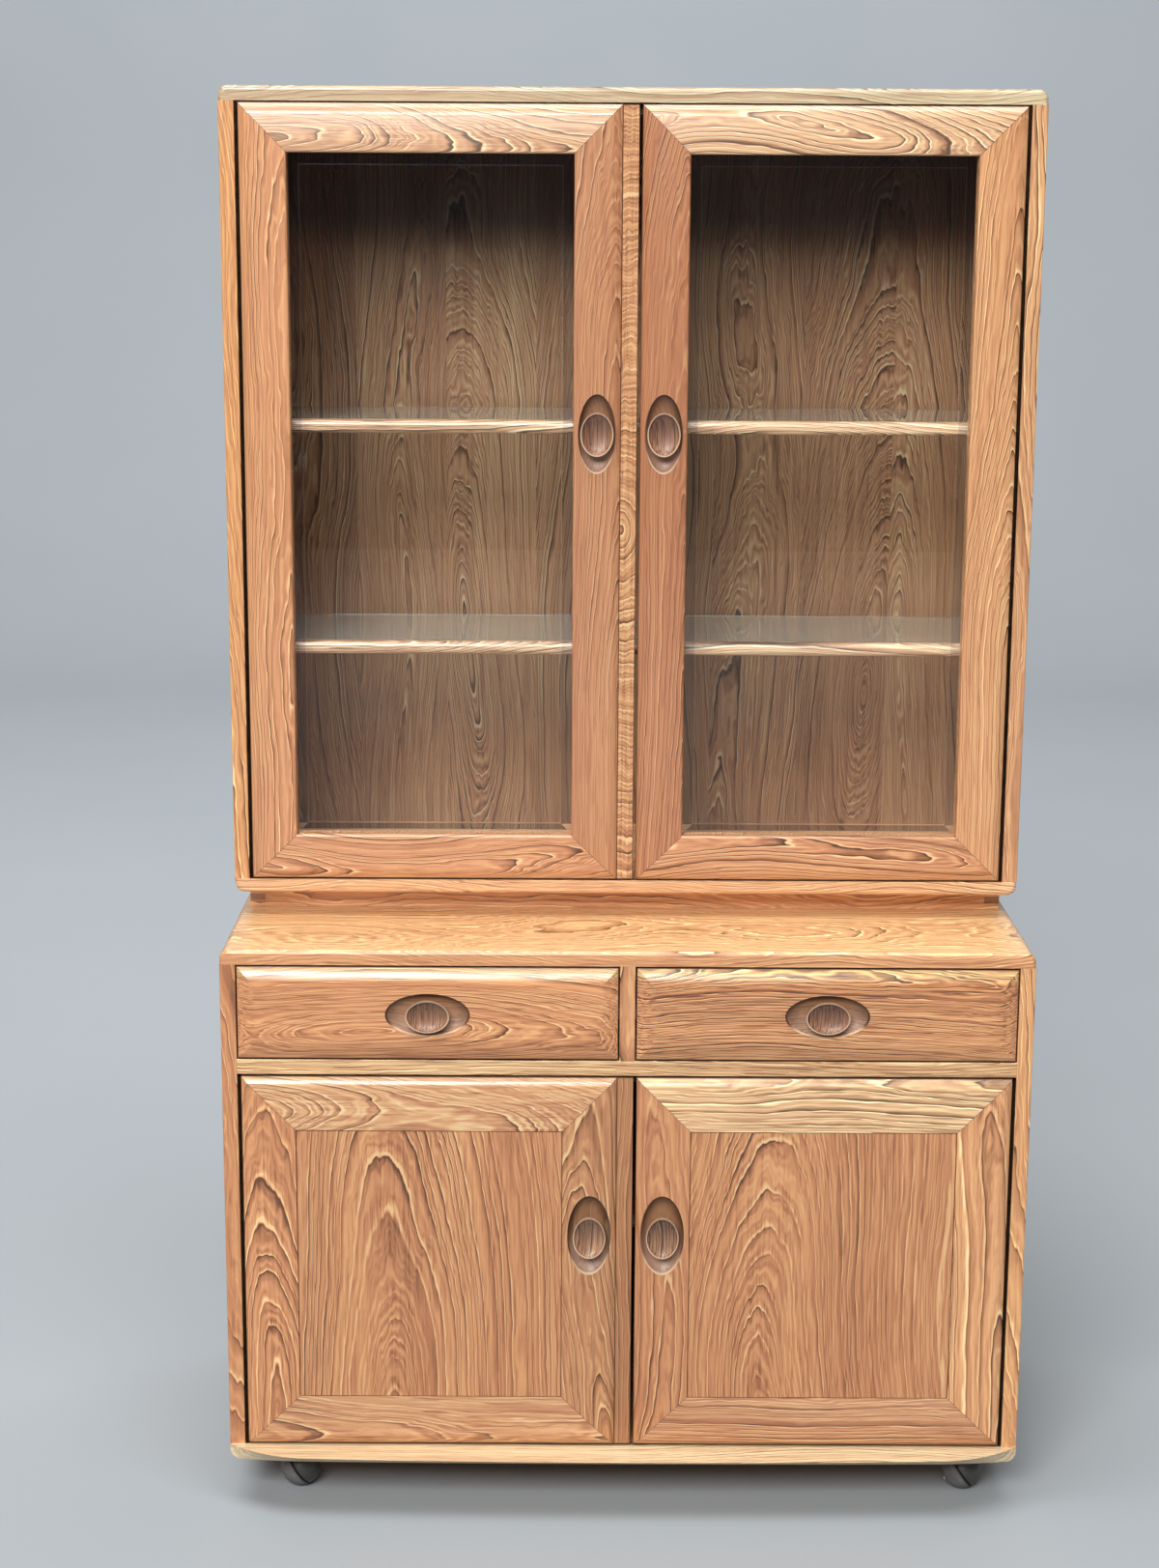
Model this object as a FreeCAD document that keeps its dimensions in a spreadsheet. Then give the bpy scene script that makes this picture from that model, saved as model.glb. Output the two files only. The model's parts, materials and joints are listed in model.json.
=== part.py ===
# A two-piece elm display cabinet: a glazed upper unit with two glass shelves stands on a base
# with two drawers, two panelled doors and four ball castors.
# Frame: +X right, +Y back, +Z up, origin on the floor under the middle of the whole cabinet, in mm.
import FreeCAD
import Part
import Sketcher
import os
import re

SIZES = {
    # Case
    "case_width": 910,
    "base_depth": 450,
    "upper_depth": 300,
    "board": 17.5,
    "top_board": 16.5,
    "back_panel": 5,
    "reveal": 2,
    "top_arris": 5,
    "arris": 1,
    "end_round": 11,
    # Heights up the front
    "castor_height": 58,
    "lower_door_height": 443.5,
    "drawer_height": 106,
    "plinth_height": 28,
    "upper_door_height": 873,
    # Bowed bottom board
    "bow_depth": 45,
    "bow_shoulder": 38,
    "shoulder_run": 92,
    "under_bow": 13,
    "under_shoulder": 10,
    # Plinth between the two units
    "plinth_setback": 47,
    "plinth_inset": 12,
    "comb_count": 4,
    # Door frames
    "upper_frame": 53,
    "lower_frame": 61,
    "crown": 8,
    "roll_run": 12,
    "roll_rise": 5.6,
    "door_edge": 16,
    "inner_round": 3,
    "strip_width": 18.5,
    "meeting_gap": 3.5,
    # Glass and panels in the doors
    "rebate": 8,
    "glass_face": 1,
    "glass": 4,
    "bevel_width": 12.5,
    "bevel_depth": 1.6,
    "panel": 6,
    "panel_tongue": 8,
    "panel_drop": 0.3,
    "panel_line": 1,
    "panel_slack": 0.5,
    # Knobs and the scooped recesses round them
    "upper_knob_height": 514.5,
    "lower_knob_height": 258,
    "knob_length": 49,
    "knob_width": 37,
    "knob_depth": 20,
    "knob_proud": 8,
    "knob_rim": 1.7,
    "knob_dish": 6,
    "knob_seat": 0.3,
    "recess_length": 94,
    "recess_width": 49,
    "slim_recess_length": 88,
    "slim_recess_width": 42,
    "dowel_radius": 5,
    "dowel_length": 7,
    # Piano hinges
    "hinge_gap": 4,
    "knuckle_radius": 1.7,
    "knuckle_pitch": 14.5,
    "knuckle_gap": 0.3,
    "hinge_pin_radius": 0.8,
    "running_clearance": 0.05,
    "leaf": 0.8,
    "leaf_start": 3,
    "leaf_reach": 14,
    # Drawers
    "drawer_front": 12,
    "flank_run": 25,
    "drawer_side": 10,
    "drawer_side_height": 84,
    "drawer_side_lift": 8,
    "drawer_length": 380,
    "drawer_bottom": 4,
    "drawer_bottom_lift": 7,
    "drawer_reveal": 1.5,
    "side_clearance": 2,
    "runner_height": 12,
    "runner_lift": 40,
    "runner_grip": 5.5,
    "groove_depth": 6,
    "groove_clearance": 0.3,
    "rail_depth": 60,
    # Shelves
    "base_shelf": 15,
    "base_shelf_height": 222,
    "base_shelf_depth": 330,
    "shelf_clearance": 0.5,
    "pin_radius": 2.5,
    "pin_reach": 8,
    "pin_seat": 8,
    "pin_inset": 45,
    "shelf_glass": 6,
    "glass_depth": 205,
    "top_shelf_height": 528.5,
    "low_shelf_height": 274.5,
    "lip_inset": 33,
    "lip_height": 15,
    "lip_depth": 13,
    "lip_round": 6,
    # Magnetic catches
    "catch_length": 60,
    "catch_depth": 14,
    "catch_height": 12,
    "catch_gap": 0.5,
    # Ball castors
    "ball_radius": 23.5,
    "ball_gap": 1,
    "tread_half_angle": 6,
    "axle_slope": 35,
    "trail": 11,
    "stem_inset_side": 65,
    "stem_inset_end": 52,
    "stem_radius": 5,
    "stem_length": 13,
    "neck_radius": 7.5,
    "neck_root": 12,
    "axle_radius": 3,
    "axle_length": 12,
    "axle_root": 6,
    "socket_radius": 8,
    "socket_depth": 14,
    "flange_radius": 17,
    "flange": 2,
}

READING_CELL = "A1"
OVERCUT = 5
TOUCHING = 1e-6
ALIAS_WORD = re.compile(r"[a-z_]+")
Vector = FreeCAD.Vector
UPSIDE_DOWN = (Vector(0, 1, 0), 180)
QUARTER_TURN = (Vector(0, 1, 0), 90)
QUARTER_BACK = (Vector(0, 1, 0), -90)
ALONG_X = (Vector(0, 1, 0), 90)
ALONG_Y = (Vector(1, 0, 0), -90)

doc = FreeCAD.newDocument("side_cabinet")
sheet = doc.addObject("Spreadsheet::Sheet", "Sizes")
for row, (alias, number) in enumerate(SIZES.items(), start=1):
    sheet.set(f"A{row}", alias)
    sheet.set(f"B{row}", str(number))
    sheet.setAlias(f"B{row}", alias)
readings = doc.addObject("Spreadsheet::Sheet", "Readings")
doc.recompute()

nodes = {}

# Lines and levels that several pieces share, written in the words of the sheet
HALF = "case_width / 2"
INNER = "(case_width / 2 - board)"
FRONT = "((bow_depth - base_depth) / 2)"
BACK = "((bow_depth + base_depth) / 2)"
UPPER_FRONT = f"({BACK} - upper_depth)"
PANEL_FRONT = f"({BACK} - back_panel)"
FLOOR_TOP = "(castor_height + board)"
LOWER_DOOR = f"({FLOOR_TOP} + reveal)"
RAIL = f"({LOWER_DOOR} + lower_door_height + reveal)"
RAIL_TOP = f"({RAIL} + board)"
DRAWER = f"({RAIL_TOP} + reveal)"
BASE_TOP = f"({DRAWER} + drawer_height + reveal)"
PLINTH = f"({BASE_TOP} + top_board)"
UPPER_FLOOR = f"({PLINTH} + plinth_height)"
UPPER_FLOOR_TOP = f"({UPPER_FLOOR} + top_board)"
UPPER_DOOR = f"({UPPER_FLOOR_TOP} + reveal)"
UPPER_TOP = f"({UPPER_DOOR} + upper_door_height + reveal)"
DOOR_WIDTH = f"({INNER} - hinge_gap - (strip_width + meeting_gap) / 2)"
DRAWER_WIDTH = f"({INNER} - board / 2 - 2 * drawer_reveal)"


def bound(text):
    """The same expression with each word of the sheet written as a reference to its cell."""
    return ALIAS_WORD.sub(lambda word: f"Sizes.{word[0]}" if word[0] in SIZES else word[0], text)


def value(text):
    """What an expression in the words of the sheet comes to."""
    readings.set(READING_CELL, f"={bound(text)}")
    readings.recompute()
    return float(readings.get(READING_CELL))


def place(item, x="0", y="0", z="0", turn=None):
    if turn:
        item.Placement = FreeCAD.Placement(Vector(), FreeCAD.Rotation(*turn))
    for axis, text in zip("xyz", (x, y, z)):
        item.setExpression(f"Placement.Base.{axis}", bound(text))
    return item


def solid(kind, name, sizes, x="0", y="0", z="0", turn=None):
    """A Part primitive whose sizes follow the sheet."""
    item = doc.addObject(f"Part::{kind}", name)
    for size, text in sizes.items():
        item.setExpression(size, bound(text))
    return place(item, x, y, z, turn)


def box(name, width, depth, height, x, y, z):
    return solid("Box", name, {"Length": width, "Width": depth, "Height": height}, x, y, z)


def rod(name, radius, length, x, y, z, turn=None):
    return solid("Cylinder", name, {"Radius": radius, "Height": length}, x, y, z, turn)


def group(name, items):
    item = doc.addObject("Part::Compound", name)
    item.Links = items
    return item


def cut(name, base, tool):
    item = doc.addObject("Part::Cut", name)
    item.Base = base
    item.Tool = tool
    return item


def fuse(name, items):
    item = doc.addObject("Part::MultiFuse", name)
    item.Shapes = items
    item.Refine = True
    return item


def rounded(name, base, radius, chosen):
    """Round the edges of a piece that the chooser accepts."""
    base.recompute(True)
    item = doc.addObject("Part::Fillet", name)
    item.Base = base
    size = value(radius)
    picked = []
    for number, edge in enumerate(base.Shape.Edges, start=1):
        if chosen(edge.BoundBox, base.Shape.BoundBox):
            picked.append((number, size, size))
    item.Edges = picked
    return item


def node(name, item):
    """Name a finished sub-part after its file."""
    item.Label = name
    nodes[name] = item
    return item


def origin_feature(body, role):
    return [feature for feature in body.Origin.OriginFeatures if feature.Role == role][0]


def outline(body, plane, steps, lift=None):
    """A closed sketch through (x, y) points; a third entry makes the run to the next point an arc:
    its centre, and the coordinate of that centre that fixes it."""
    sketch = body.newObject("Sketcher::SketchObject", f"{body.Name}_outline")
    sketch.AttachmentSupport = [(origin_feature(body, plane), "")]
    sketch.MapMode = "FlatFace"
    if lift:
        sketch.setExpression("AttachmentOffset.Base.z", bound(lift))
    points = [Vector(value(step[0]), value(step[1]), 0) for step in steps]
    ends = []
    centres = []
    for index, step in enumerate(steps):
        start = points[index]
        end = points[(index + 1) % len(points)]
        if len(step) == 2:
            sketch.addGeometry(Part.LineSegment(start, end))
            ends.append((1, 2))
            continue
        centre_x, centre_y, fixed = step[2]
        centre = Vector(value(centre_x), value(centre_y), 0)
        turns_left = (start - centre).cross(end - centre).z > 0
        first, last = (start, end) if turns_left else (end, start)
        circle = Part.Circle(centre, Vector(0, 0, 1), (start - centre).Length)
        sketch.addGeometry(Part.ArcOfCircle(circle, circle.parameter(first), circle.parameter(last)))
        ends.append((1, 2) if turns_left else (2, 1))
        centres.append((index, fixed, centre_x if fixed == "X" else centre_y))
    for index, step in enumerate(steps):
        before = index - 1 if index else len(steps) - 1
        sketch.addConstraint(Sketcher.Constraint("Coincident", before, ends[before][1], index, ends[index][0]))
        for axis, text in zip("XY", step[:2]):
            dimension(sketch, axis, index, ends[index][0], text)
    for index, axis, text in centres:
        dimension(sketch, axis, index, 3, text)
    return sketch


def dimension(sketch, axis, geometry, point, text):
    """Hold one coordinate of a sketch point at an expression."""
    made = Sketcher.Constraint(f"Distance{axis}", -1, 1, geometry, point, value(text))
    number = sketch.addConstraint(made)
    sketch.setExpression(f"Constraints[{number}]", bound(text))


def padded(name, plane, steps, length):
    """A body made by padding one outline."""
    body = doc.addObject("PartDesign::Body", name)
    pad = body.newObject("PartDesign::Pad", f"{name}_pad")
    pad.Profile = outline(body, plane, steps)
    pad.setExpression("Length", bound(length))
    return body


def shoulder(run, rise, far, crest):
    """Where a quick arc at an edge runs into a slow arc without a kink: the quick arc's centre,
    along and in from the edge, and the depth of the slow arc's centre, which lies under its crest."""
    lift = f"({crest} - {rise})"
    slow = f"(({far} ^ 2 + {lift} ^ 2) / (2 * {lift}))"
    drop = f"({slow} - {lift})"
    quick = f"(({run} ^ 2 + {rise} ^ 2) * {slow} / (2 * ({rise} * {drop} - {run} * {far})))"
    along = f"({run} + {quick} * {far} / {slow})"
    depth = f"({quick} * {drop} / {slow} - {rise})"
    return along, depth, f"({slow} - {crest})"


def moulded_front(crest_at):
    """The convex face of a door member: a tight roll at the outer edge, then a slow swell to the crest."""
    along, depth, slow_depth = shoulder("roll_run", "roll_rise", f"({crest_at} - roll_run)", "crown")
    return [
        ("0", "0", (along, depth, "X")),
        ("roll_run", "-roll_rise", (crest_at, slow_depth, "X")),
    ]


def glazed_profile():
    """Section of an upper door member: a moulded front, a softened sight edge and a glass rebate."""
    return moulded_front("(upper_frame - inner_round)") + [
        ("upper_frame - inner_round", "-crown",
         ("upper_frame - inner_round", "inner_round - crown", "X")),
        ("upper_frame", "inner_round - crown"),
        ("upper_frame", "glass_face"),
        ("upper_frame - rebate", "glass_face"),
        ("upper_frame - rebate", "door_edge"),
        ("0", "door_edge"),
    ]


def panelled_profile():
    """Section of a lower door member: a moulded front and a groove for the panel's tongue."""
    return moulded_front("lower_frame") + [
        ("lower_frame", "-crown"),
        ("lower_frame", "glass_face"),
        ("lower_frame - panel_tongue", "glass_face"),
        ("lower_frame - panel_tongue", "glass_face + panel"),
        ("lower_frame", "glass_face + panel"),
        ("lower_frame", "door_edge"),
        ("0", "door_edge"),
    ]


def mitred_member(name, profile, width, length, x, y, z, turn):
    """A frame member with its outer edge along local Z and both ends cut at 45 degrees."""
    body = padded(name, "XY_Plane", profile, length)
    past = f"({width} + {OVERCUT})"
    ends = [
        [(f"-{OVERCUT}", f"-{OVERCUT}"), (past, f"-{OVERCUT}"), (past, past)],
        [(f"-{OVERCUT}", f"{length} + {OVERCUT}"), (past, f"{length} - {past}"),
         (past, f"{length} + {OVERCUT}")],
    ]
    for corner in ends:
        pocket = body.newObject("PartDesign::Pocket", f"{name}_mitre")
        pocket.Profile = outline(body, "XZ_Plane", corner)
        pocket.Type = "ThroughAll"
        pocket.Midplane = True
    return place(body, x, y, z, turn)


def scoop(name, length, width, upright, x, y, z):
    """The hollow round a knob with the knob's dowel hole in its floor, as one cutting shape."""
    tall, wide = (length, width) if upright else (width, length)
    radii = {
        "Radius1": f"{tall} / 2",
        "Radius2": f"{wide} / 2",
        "Radius3": "knob_depth - knob_proud + knob_seat",
    }
    hollow = solid("Ellipsoid", f"{name}_hollow", radii, x, y, z)
    bore_length = "knob_depth - knob_proud + knob_seat + dowel_length"
    bore = rod(f"{name}_bore", "dowel_radius", bore_length, x, y, z, ALONG_Y)
    return fuse(name, [hollow, bore])


def knob(name, upright, x, y, z):
    """A dished oval bowl on a dowel; y is the crest that its rim stands proud of."""
    tall, wide = ("knob_length", "knob_width") if upright else ("knob_width", "knob_length")
    rim = f"{y} - knob_proud"
    bowl_radii = {"Radius1": f"{tall} / 2", "Radius2": f"{wide} / 2", "Radius3": "knob_depth"}
    bowl = solid("Ellipsoid", f"{name}_bowl", bowl_radii, x, rim, z)
    front_half = box(f"{name}_front_half", f"2 * {wide}", "2 * knob_depth", f"2 * {tall}",
                     f"{x} - {wide}", f"{rim} - 2 * knob_depth", f"{z} - {tall}")
    dish_radii = {
        "Radius1": f"{tall} / 2 - knob_rim",
        "Radius2": f"{wide} / 2 - knob_rim",
        "Radius3": "knob_dish",
    }
    dish = solid("Ellipsoid", f"{name}_dish", dish_radii, x, rim, z)
    cup = cut(f"{name}_cup", bowl, group(f"{name}_waste", [front_half, dish]))
    dowel = rod(f"{name}_dowel", "dowel_radius", "knob_depth / 2 + knob_seat + dowel_length",
                x, f"{rim} + knob_depth / 2", z, ALONG_Y)
    return node(f"{name}", fuse(f"{name}_turned", [cup, dowel]))


def door(name, profile, width, height, left, x, y, z, knob_height, recess):
    """Stiles and rails of one mitred door, its knob, and on a left door the closing strip."""
    far = f"{x} + {DOOR_WIDTH}"
    top = f"{z} + {height}"
    left_stile = mitred_member(f"{name}_stile_a", profile, width, height, x, y, z, None)
    right_stile = mitred_member(f"{name}_stile_b", profile, width, height, far, y, top, UPSIDE_DOWN)
    top_rail = mitred_member(f"{name}_rail_a", profile, width, DOOR_WIDTH, x, y, top, QUARTER_TURN)
    low_rail = mitred_member(f"{name}_rail_b", profile, width, DOOR_WIDTH, far, y, z, QUARTER_BACK)
    hung, meeting = (left_stile, right_stile) if left else (right_stile, left_stile)
    knob_x = f"{far} - {width} / 2" if left else f"{x} + {width} / 2"
    crest = f"{y} - crown"
    knob_z = f"{z} + {knob_height}"
    hollow = scoop(f"{name}_scoop", *recess, True, knob_x, crest, knob_z)
    scooped = cut(f"{name}_meeting_stile", meeting, hollow)
    node(f"{name}_stiles", group(f"{name}_stile_pair", [hung, scooped]))
    node(f"{name}_rails", group(f"{name}_rail_pair", [top_rail, low_rail]))
    knob(f"{name}_knob", True, knob_x, crest, knob_z)
    if left:
        blank = box(f"{name}_strip_blank", "strip_width", "door_edge", height, far, y, z)
        node(f"{name}_strip", softened(f"{name}_closing", blank))


def bevelled_glass(name, x, y, z):
    """A pane in the rebate of an upper door, its front ground down to a bevel all round."""
    margin = "(upper_frame - rebate)"
    width = f"({DOOR_WIDTH} - 2 * {margin})"
    height = f"(upper_door_height - 2 * {margin})"
    bevel = "(rebate + bevel_width)"
    face = {
        "Xmin": bevel, "Xmax": f"{width} - {bevel}", "Zmin": bevel, "Zmax": f"{height} - {bevel}",
        "Ymin": "0", "Ymax": "bevel_depth",
        "X2min": "0", "X2max": width, "Z2min": "0", "Z2max": height,
    }
    corner = (f"{x} + {margin}", f"{z} + {margin}")
    front = solid("Wedge", f"{name}_bevel", face, corner[0], f"{y} + glass_face", corner[1])
    rest = box(f"{name}_pane", width, "glass - bevel_depth", height,
               corner[0], f"{y} + glass_face + bevel_depth", corner[1])
    node(name, fuse(f"{name}_bevelled", [front, rest]))


def glazing_beads(name, x, y, z):
    """Four strips that hold the pane in from behind."""
    margin = "(upper_frame - rebate)"
    width = f"({DOOR_WIDTH} - 2 * {margin})"
    height = f"(upper_door_height - 2 * {margin})"
    back = f"{y} + glass_face + glass"
    depth = "door_edge - glass_face - glass"
    left = f"{x} + {margin}"
    low = f"{z} + {margin}"
    strips = [
        box(f"{name}_left", "rebate", depth, height, left, back, low),
        box(f"{name}_right", "rebate", depth, height, f"{left} + {width} - rebate", back, low),
        box(f"{name}_low", f"{width} - 2 * rebate", depth, "rebate", f"{left} + rebate", back, low),
        box(f"{name}_top", f"{width} - 2 * rebate", depth, "rebate", f"{left} + rebate", back,
            f"{low} + {height} - rebate"),
    ]
    node(name, group(f"{name}_set", strips))


def door_panel(name, x, y, z):
    """A flat panel: its field stands nearly level with the frame, its tongue runs in the groove."""
    field_margin = "(lower_frame + panel_line)"
    tongue_margin = "(lower_frame - panel_tongue + panel_slack)"
    field = box(f"{name}_field", f"{DOOR_WIDTH} - 2 * {field_margin}", "crown - panel_drop + glass_face + panel",
                f"lower_door_height - 2 * {field_margin}",
                f"{x} + {field_margin}", f"{y} - crown + panel_drop", f"{z} + {field_margin}")
    tongue = box(f"{name}_tongue", f"{DOOR_WIDTH} - 2 * {tongue_margin}", "panel",
                 f"lower_door_height - 2 * {tongue_margin}",
                 f"{x} + {tongue_margin}", f"{y} + glass_face", f"{z} + {tongue_margin}")
    node(name, fuse(f"{name}_board", [field, tongue]))


def knuckle_pairs(height):
    return f"floor({height} / (2 * knuckle_pitch))"


def hinge_leaf(name, height, first, count, x, y, z, turn):
    """A leaf on the face at local x = 0, with every second knuckle of a piano hinge."""
    body = padded(name, "XY_Plane",
                  [("0", "leaf_start"), ("leaf", "leaf_start"), ("leaf", "leaf_reach"), ("0", "leaf_reach")],
                  height)
    knuckle = f"({height} / (2 * {knuckle_pairs(height)} + 1))"
    near = "hinge_gap / 2 - knuckle_radius"
    off = "hinge_gap / 2 + knuckle_radius"
    foot = [
        ("0", "leaf_start"),
        ("0", "0"),
        (near, "0", ("hinge_gap / 2", "0", "X")),
        ("hinge_gap / 2", "-knuckle_radius", ("hinge_gap / 2", "0", "X")),
        (off, "0"),
        (off, "knuckle_radius"),
        ("leaf", "leaf_start"),
    ]
    sketch = outline(body, "XY_Plane", foot, f"{first} * {knuckle} + knuckle_gap / 2")
    centre = Vector(value("hinge_gap / 2"), 0, 0)
    radius = "hinge_pin_radius + running_clearance"
    bore = sketch.addGeometry(Part.Circle(centre, Vector(0, 0, 1), value(radius)))
    dimension(sketch, "X", bore, 3, "hinge_gap / 2")
    dimension(sketch, "Y", bore, 3, "0")
    number = sketch.addConstraint(Sketcher.Constraint("Radius", bore, value(radius)))
    sketch.setExpression(f"Constraints[{number}]", bound(radius))
    barrel = body.newObject("PartDesign::Pad", f"{name}_knuckle")
    barrel.Profile = sketch
    barrel.setExpression("Length", bound(f"{knuckle} - knuckle_gap"))
    row = body.newObject("PartDesign::LinearPattern", f"{name}_row")
    row.Originals = [barrel]
    row.Direction = (origin_feature(body, "Z_Axis"), [""])
    row.Mode = "Extent"
    row.setExpression("Length", bound(f"2 * {knuckle} * ({count} - 1)"))
    row.setExpression("Occurrences", bound(count))
    body.Tip = row
    return place(body, x, y, z, turn)


def piano_hinge(door_name, height, left, y, z):
    """Case leaf, door leaf and pin of one hinge; the first two are turned over to face each other."""
    pairs = knuckle_pairs(height)
    case_count = f"{pairs} + 1"
    door_face = f"{INNER} - hinge_gap"
    top = f"{z} + {height}"
    side = "-" if left else ""
    upright = (z, None)
    turned = (top, UPSIDE_DOWN)
    case_way, door_way = (upright, turned) if left else (turned, upright)
    case_leaf = hinge_leaf(f"{door_name}_case_leaf", height, "0", case_count,
                           f"{side}{INNER}", y, *case_way)
    door_leaf = hinge_leaf(f"{door_name}_leaf", height, "1", pairs,
                           f"{side}({door_face})", y, *door_way)
    node(f"{door_name}_hinge_leaf", door_leaf)
    pin = rod(f"{door_name}_hinge_pin", "hinge_pin_radius", height,
              f"{side}({INNER} - hinge_gap / 2)", y, z)
    return case_leaf, pin


def shelf_pin_row(name, underside, front, back):
    """Four pins in the case sides under one shelf, left pair first."""
    height = f"{underside} - pin_radius"
    length = "pin_seat + pin_reach"
    pins = []
    for side, start in (("left", f"-{INNER} - pin_seat"), ("right", f"{INNER} - pin_reach")):
        for end, depth in (("front", front), ("back", back)):
            pins.append(rod(f"{name}_{side}_{end}", "pin_radius", length, start, depth, height, ALONG_X))
    return pins


def comb_notches(name, x, y, odd):
    """Slots between the fingers at one corner of the plinth, every second one."""
    finger = "(plinth_height / comb_count)"
    slots = []
    for index in range(int(value("comb_count"))):
        if index % 2 == odd:
            slots.append(box(f"{name}_{index}", "board", "board", finger,
                             x, y, f"{PLINTH} + {index} * {finger}"))
    return slots


def plinth():
    """A recessed frame of four boards, comb-jointed at its corners."""
    near = f"{UPPER_FRONT} + plinth_setback"
    half = f"({HALF} - plinth_inset)"
    far = f"{BACK} - board"
    depth = f"({BACK} - {UPPER_FRONT} - plinth_setback)"
    boards = []
    for end, y in (("front", near), ("back", far)):
        plain = box(f"plinth_{end}_blank", f"2 * {half}", "board", "plinth_height", f"-{half}", y, PLINTH)
        slots = comb_notches(f"plinth_{end}_l", f"-{half}", y, 1)
        slots += comb_notches(f"plinth_{end}_r", f"{half} - board", y, 1)
        boards.append(cut(f"plinth_{end}", plain, group(f"plinth_{end}_slots", slots)))
    for side, x in (("left", f"-{half}"), ("right", f"{half} - board")):
        plain = box(f"plinth_{side}_blank", "board", depth, "plinth_height", x, near, PLINTH)
        slots = comb_notches(f"plinth_{side}_f", x, near, 0) + comb_notches(f"plinth_{side}_b", x, far, 0)
        boards.append(cut(f"plinth_{side}", plain, group(f"plinth_{side}_slots", slots)))
    node("plinth_frame", group("plinth_boards", boards))


def softened(name, base):
    """Ease the two long arrises of a board's front edge."""

    def long_front_edge(edge, whole):
        span = max(whole.XLength, whole.ZLength)
        return edge.YMax - whole.YMin < TOUCHING and edge.DiagonalLength > span - TOUCHING

    return rounded(name, base, "arris", long_front_edge)


def rounded_end_board(name, y, z, depth, upward):
    """A full-width board whose two outer end corners are rounded, with a softened outer front arris."""
    blank = box(f"{name}_blank", "case_width", depth, "top_board", f"-{HALF}", y, z)

    def on_outer_face(edge, whole):
        level = edge.ZMin - whole.ZMax if upward else edge.ZMax - whole.ZMin
        return abs(level) < TOUCHING

    def outer_end(edge, whole):
        return on_outer_face(edge, whole) and edge.YLength > edge.XLength

    def outer_front(edge, whole):
        return on_outer_face(edge, whole) and edge.YMax - whole.YMin < TOUCHING

    ends = rounded(f"{name}_ends", blank, "end_round", outer_end)
    node(name, rounded(f"{name}_soft", ends, "top_arris", outer_front))


def base_floor():
    """The bottom board: its front bows out, is bevelled back underneath and has rounded lower ends."""
    body = doc.addObject("PartDesign::Body", "base_floor")
    half = f"({HALF} - shoulder_run)"
    sections = []
    for bow, rise, lift in (("under_bow", "under_shoulder", "0"), ("bow_depth", "bow_shoulder", "board")):
        along, depth, slow_depth = shoulder("shoulder_run", rise, half, bow)
        end_x = f"({HALF} - {along})"
        steps = [
            (f"-{HALF}", "base_depth"),
            (f"-{HALF}", "0", (f"-{end_x}", depth, "X")),
            (f"-{half}", f"-{rise}", ("0", slow_depth, "Y")),
            (half, f"-{rise}", (end_x, depth, "X")),
            (HALF, "0"),
            (HALF, "base_depth"),
        ]
        sections.append(outline(body, "XY_Plane", steps, lift))
    loft = body.newObject("PartDesign::AdditiveLoft", "base_floor_loft")
    loft.Profile = sections[0]
    loft.Sections = sections[1:]
    loft.Ruled = True
    limits = box("base_floor_limits", "case_width", "base_depth + bow_depth", "board",
                 f"-{HALF}", f"{FRONT} - bow_depth", "castor_height")

    def lower_end(edge, whole):
        return edge.ZMax - whole.ZMin < TOUCHING and edge.YLength > edge.XLength

    board = doc.addObject("Part::Common", "base_floor_board")
    board.Base = place(body, "0", FRONT, "castor_height")
    board.Tool = rounded("base_floor_ends", limits, "end_round", lower_end)
    return board


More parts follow.
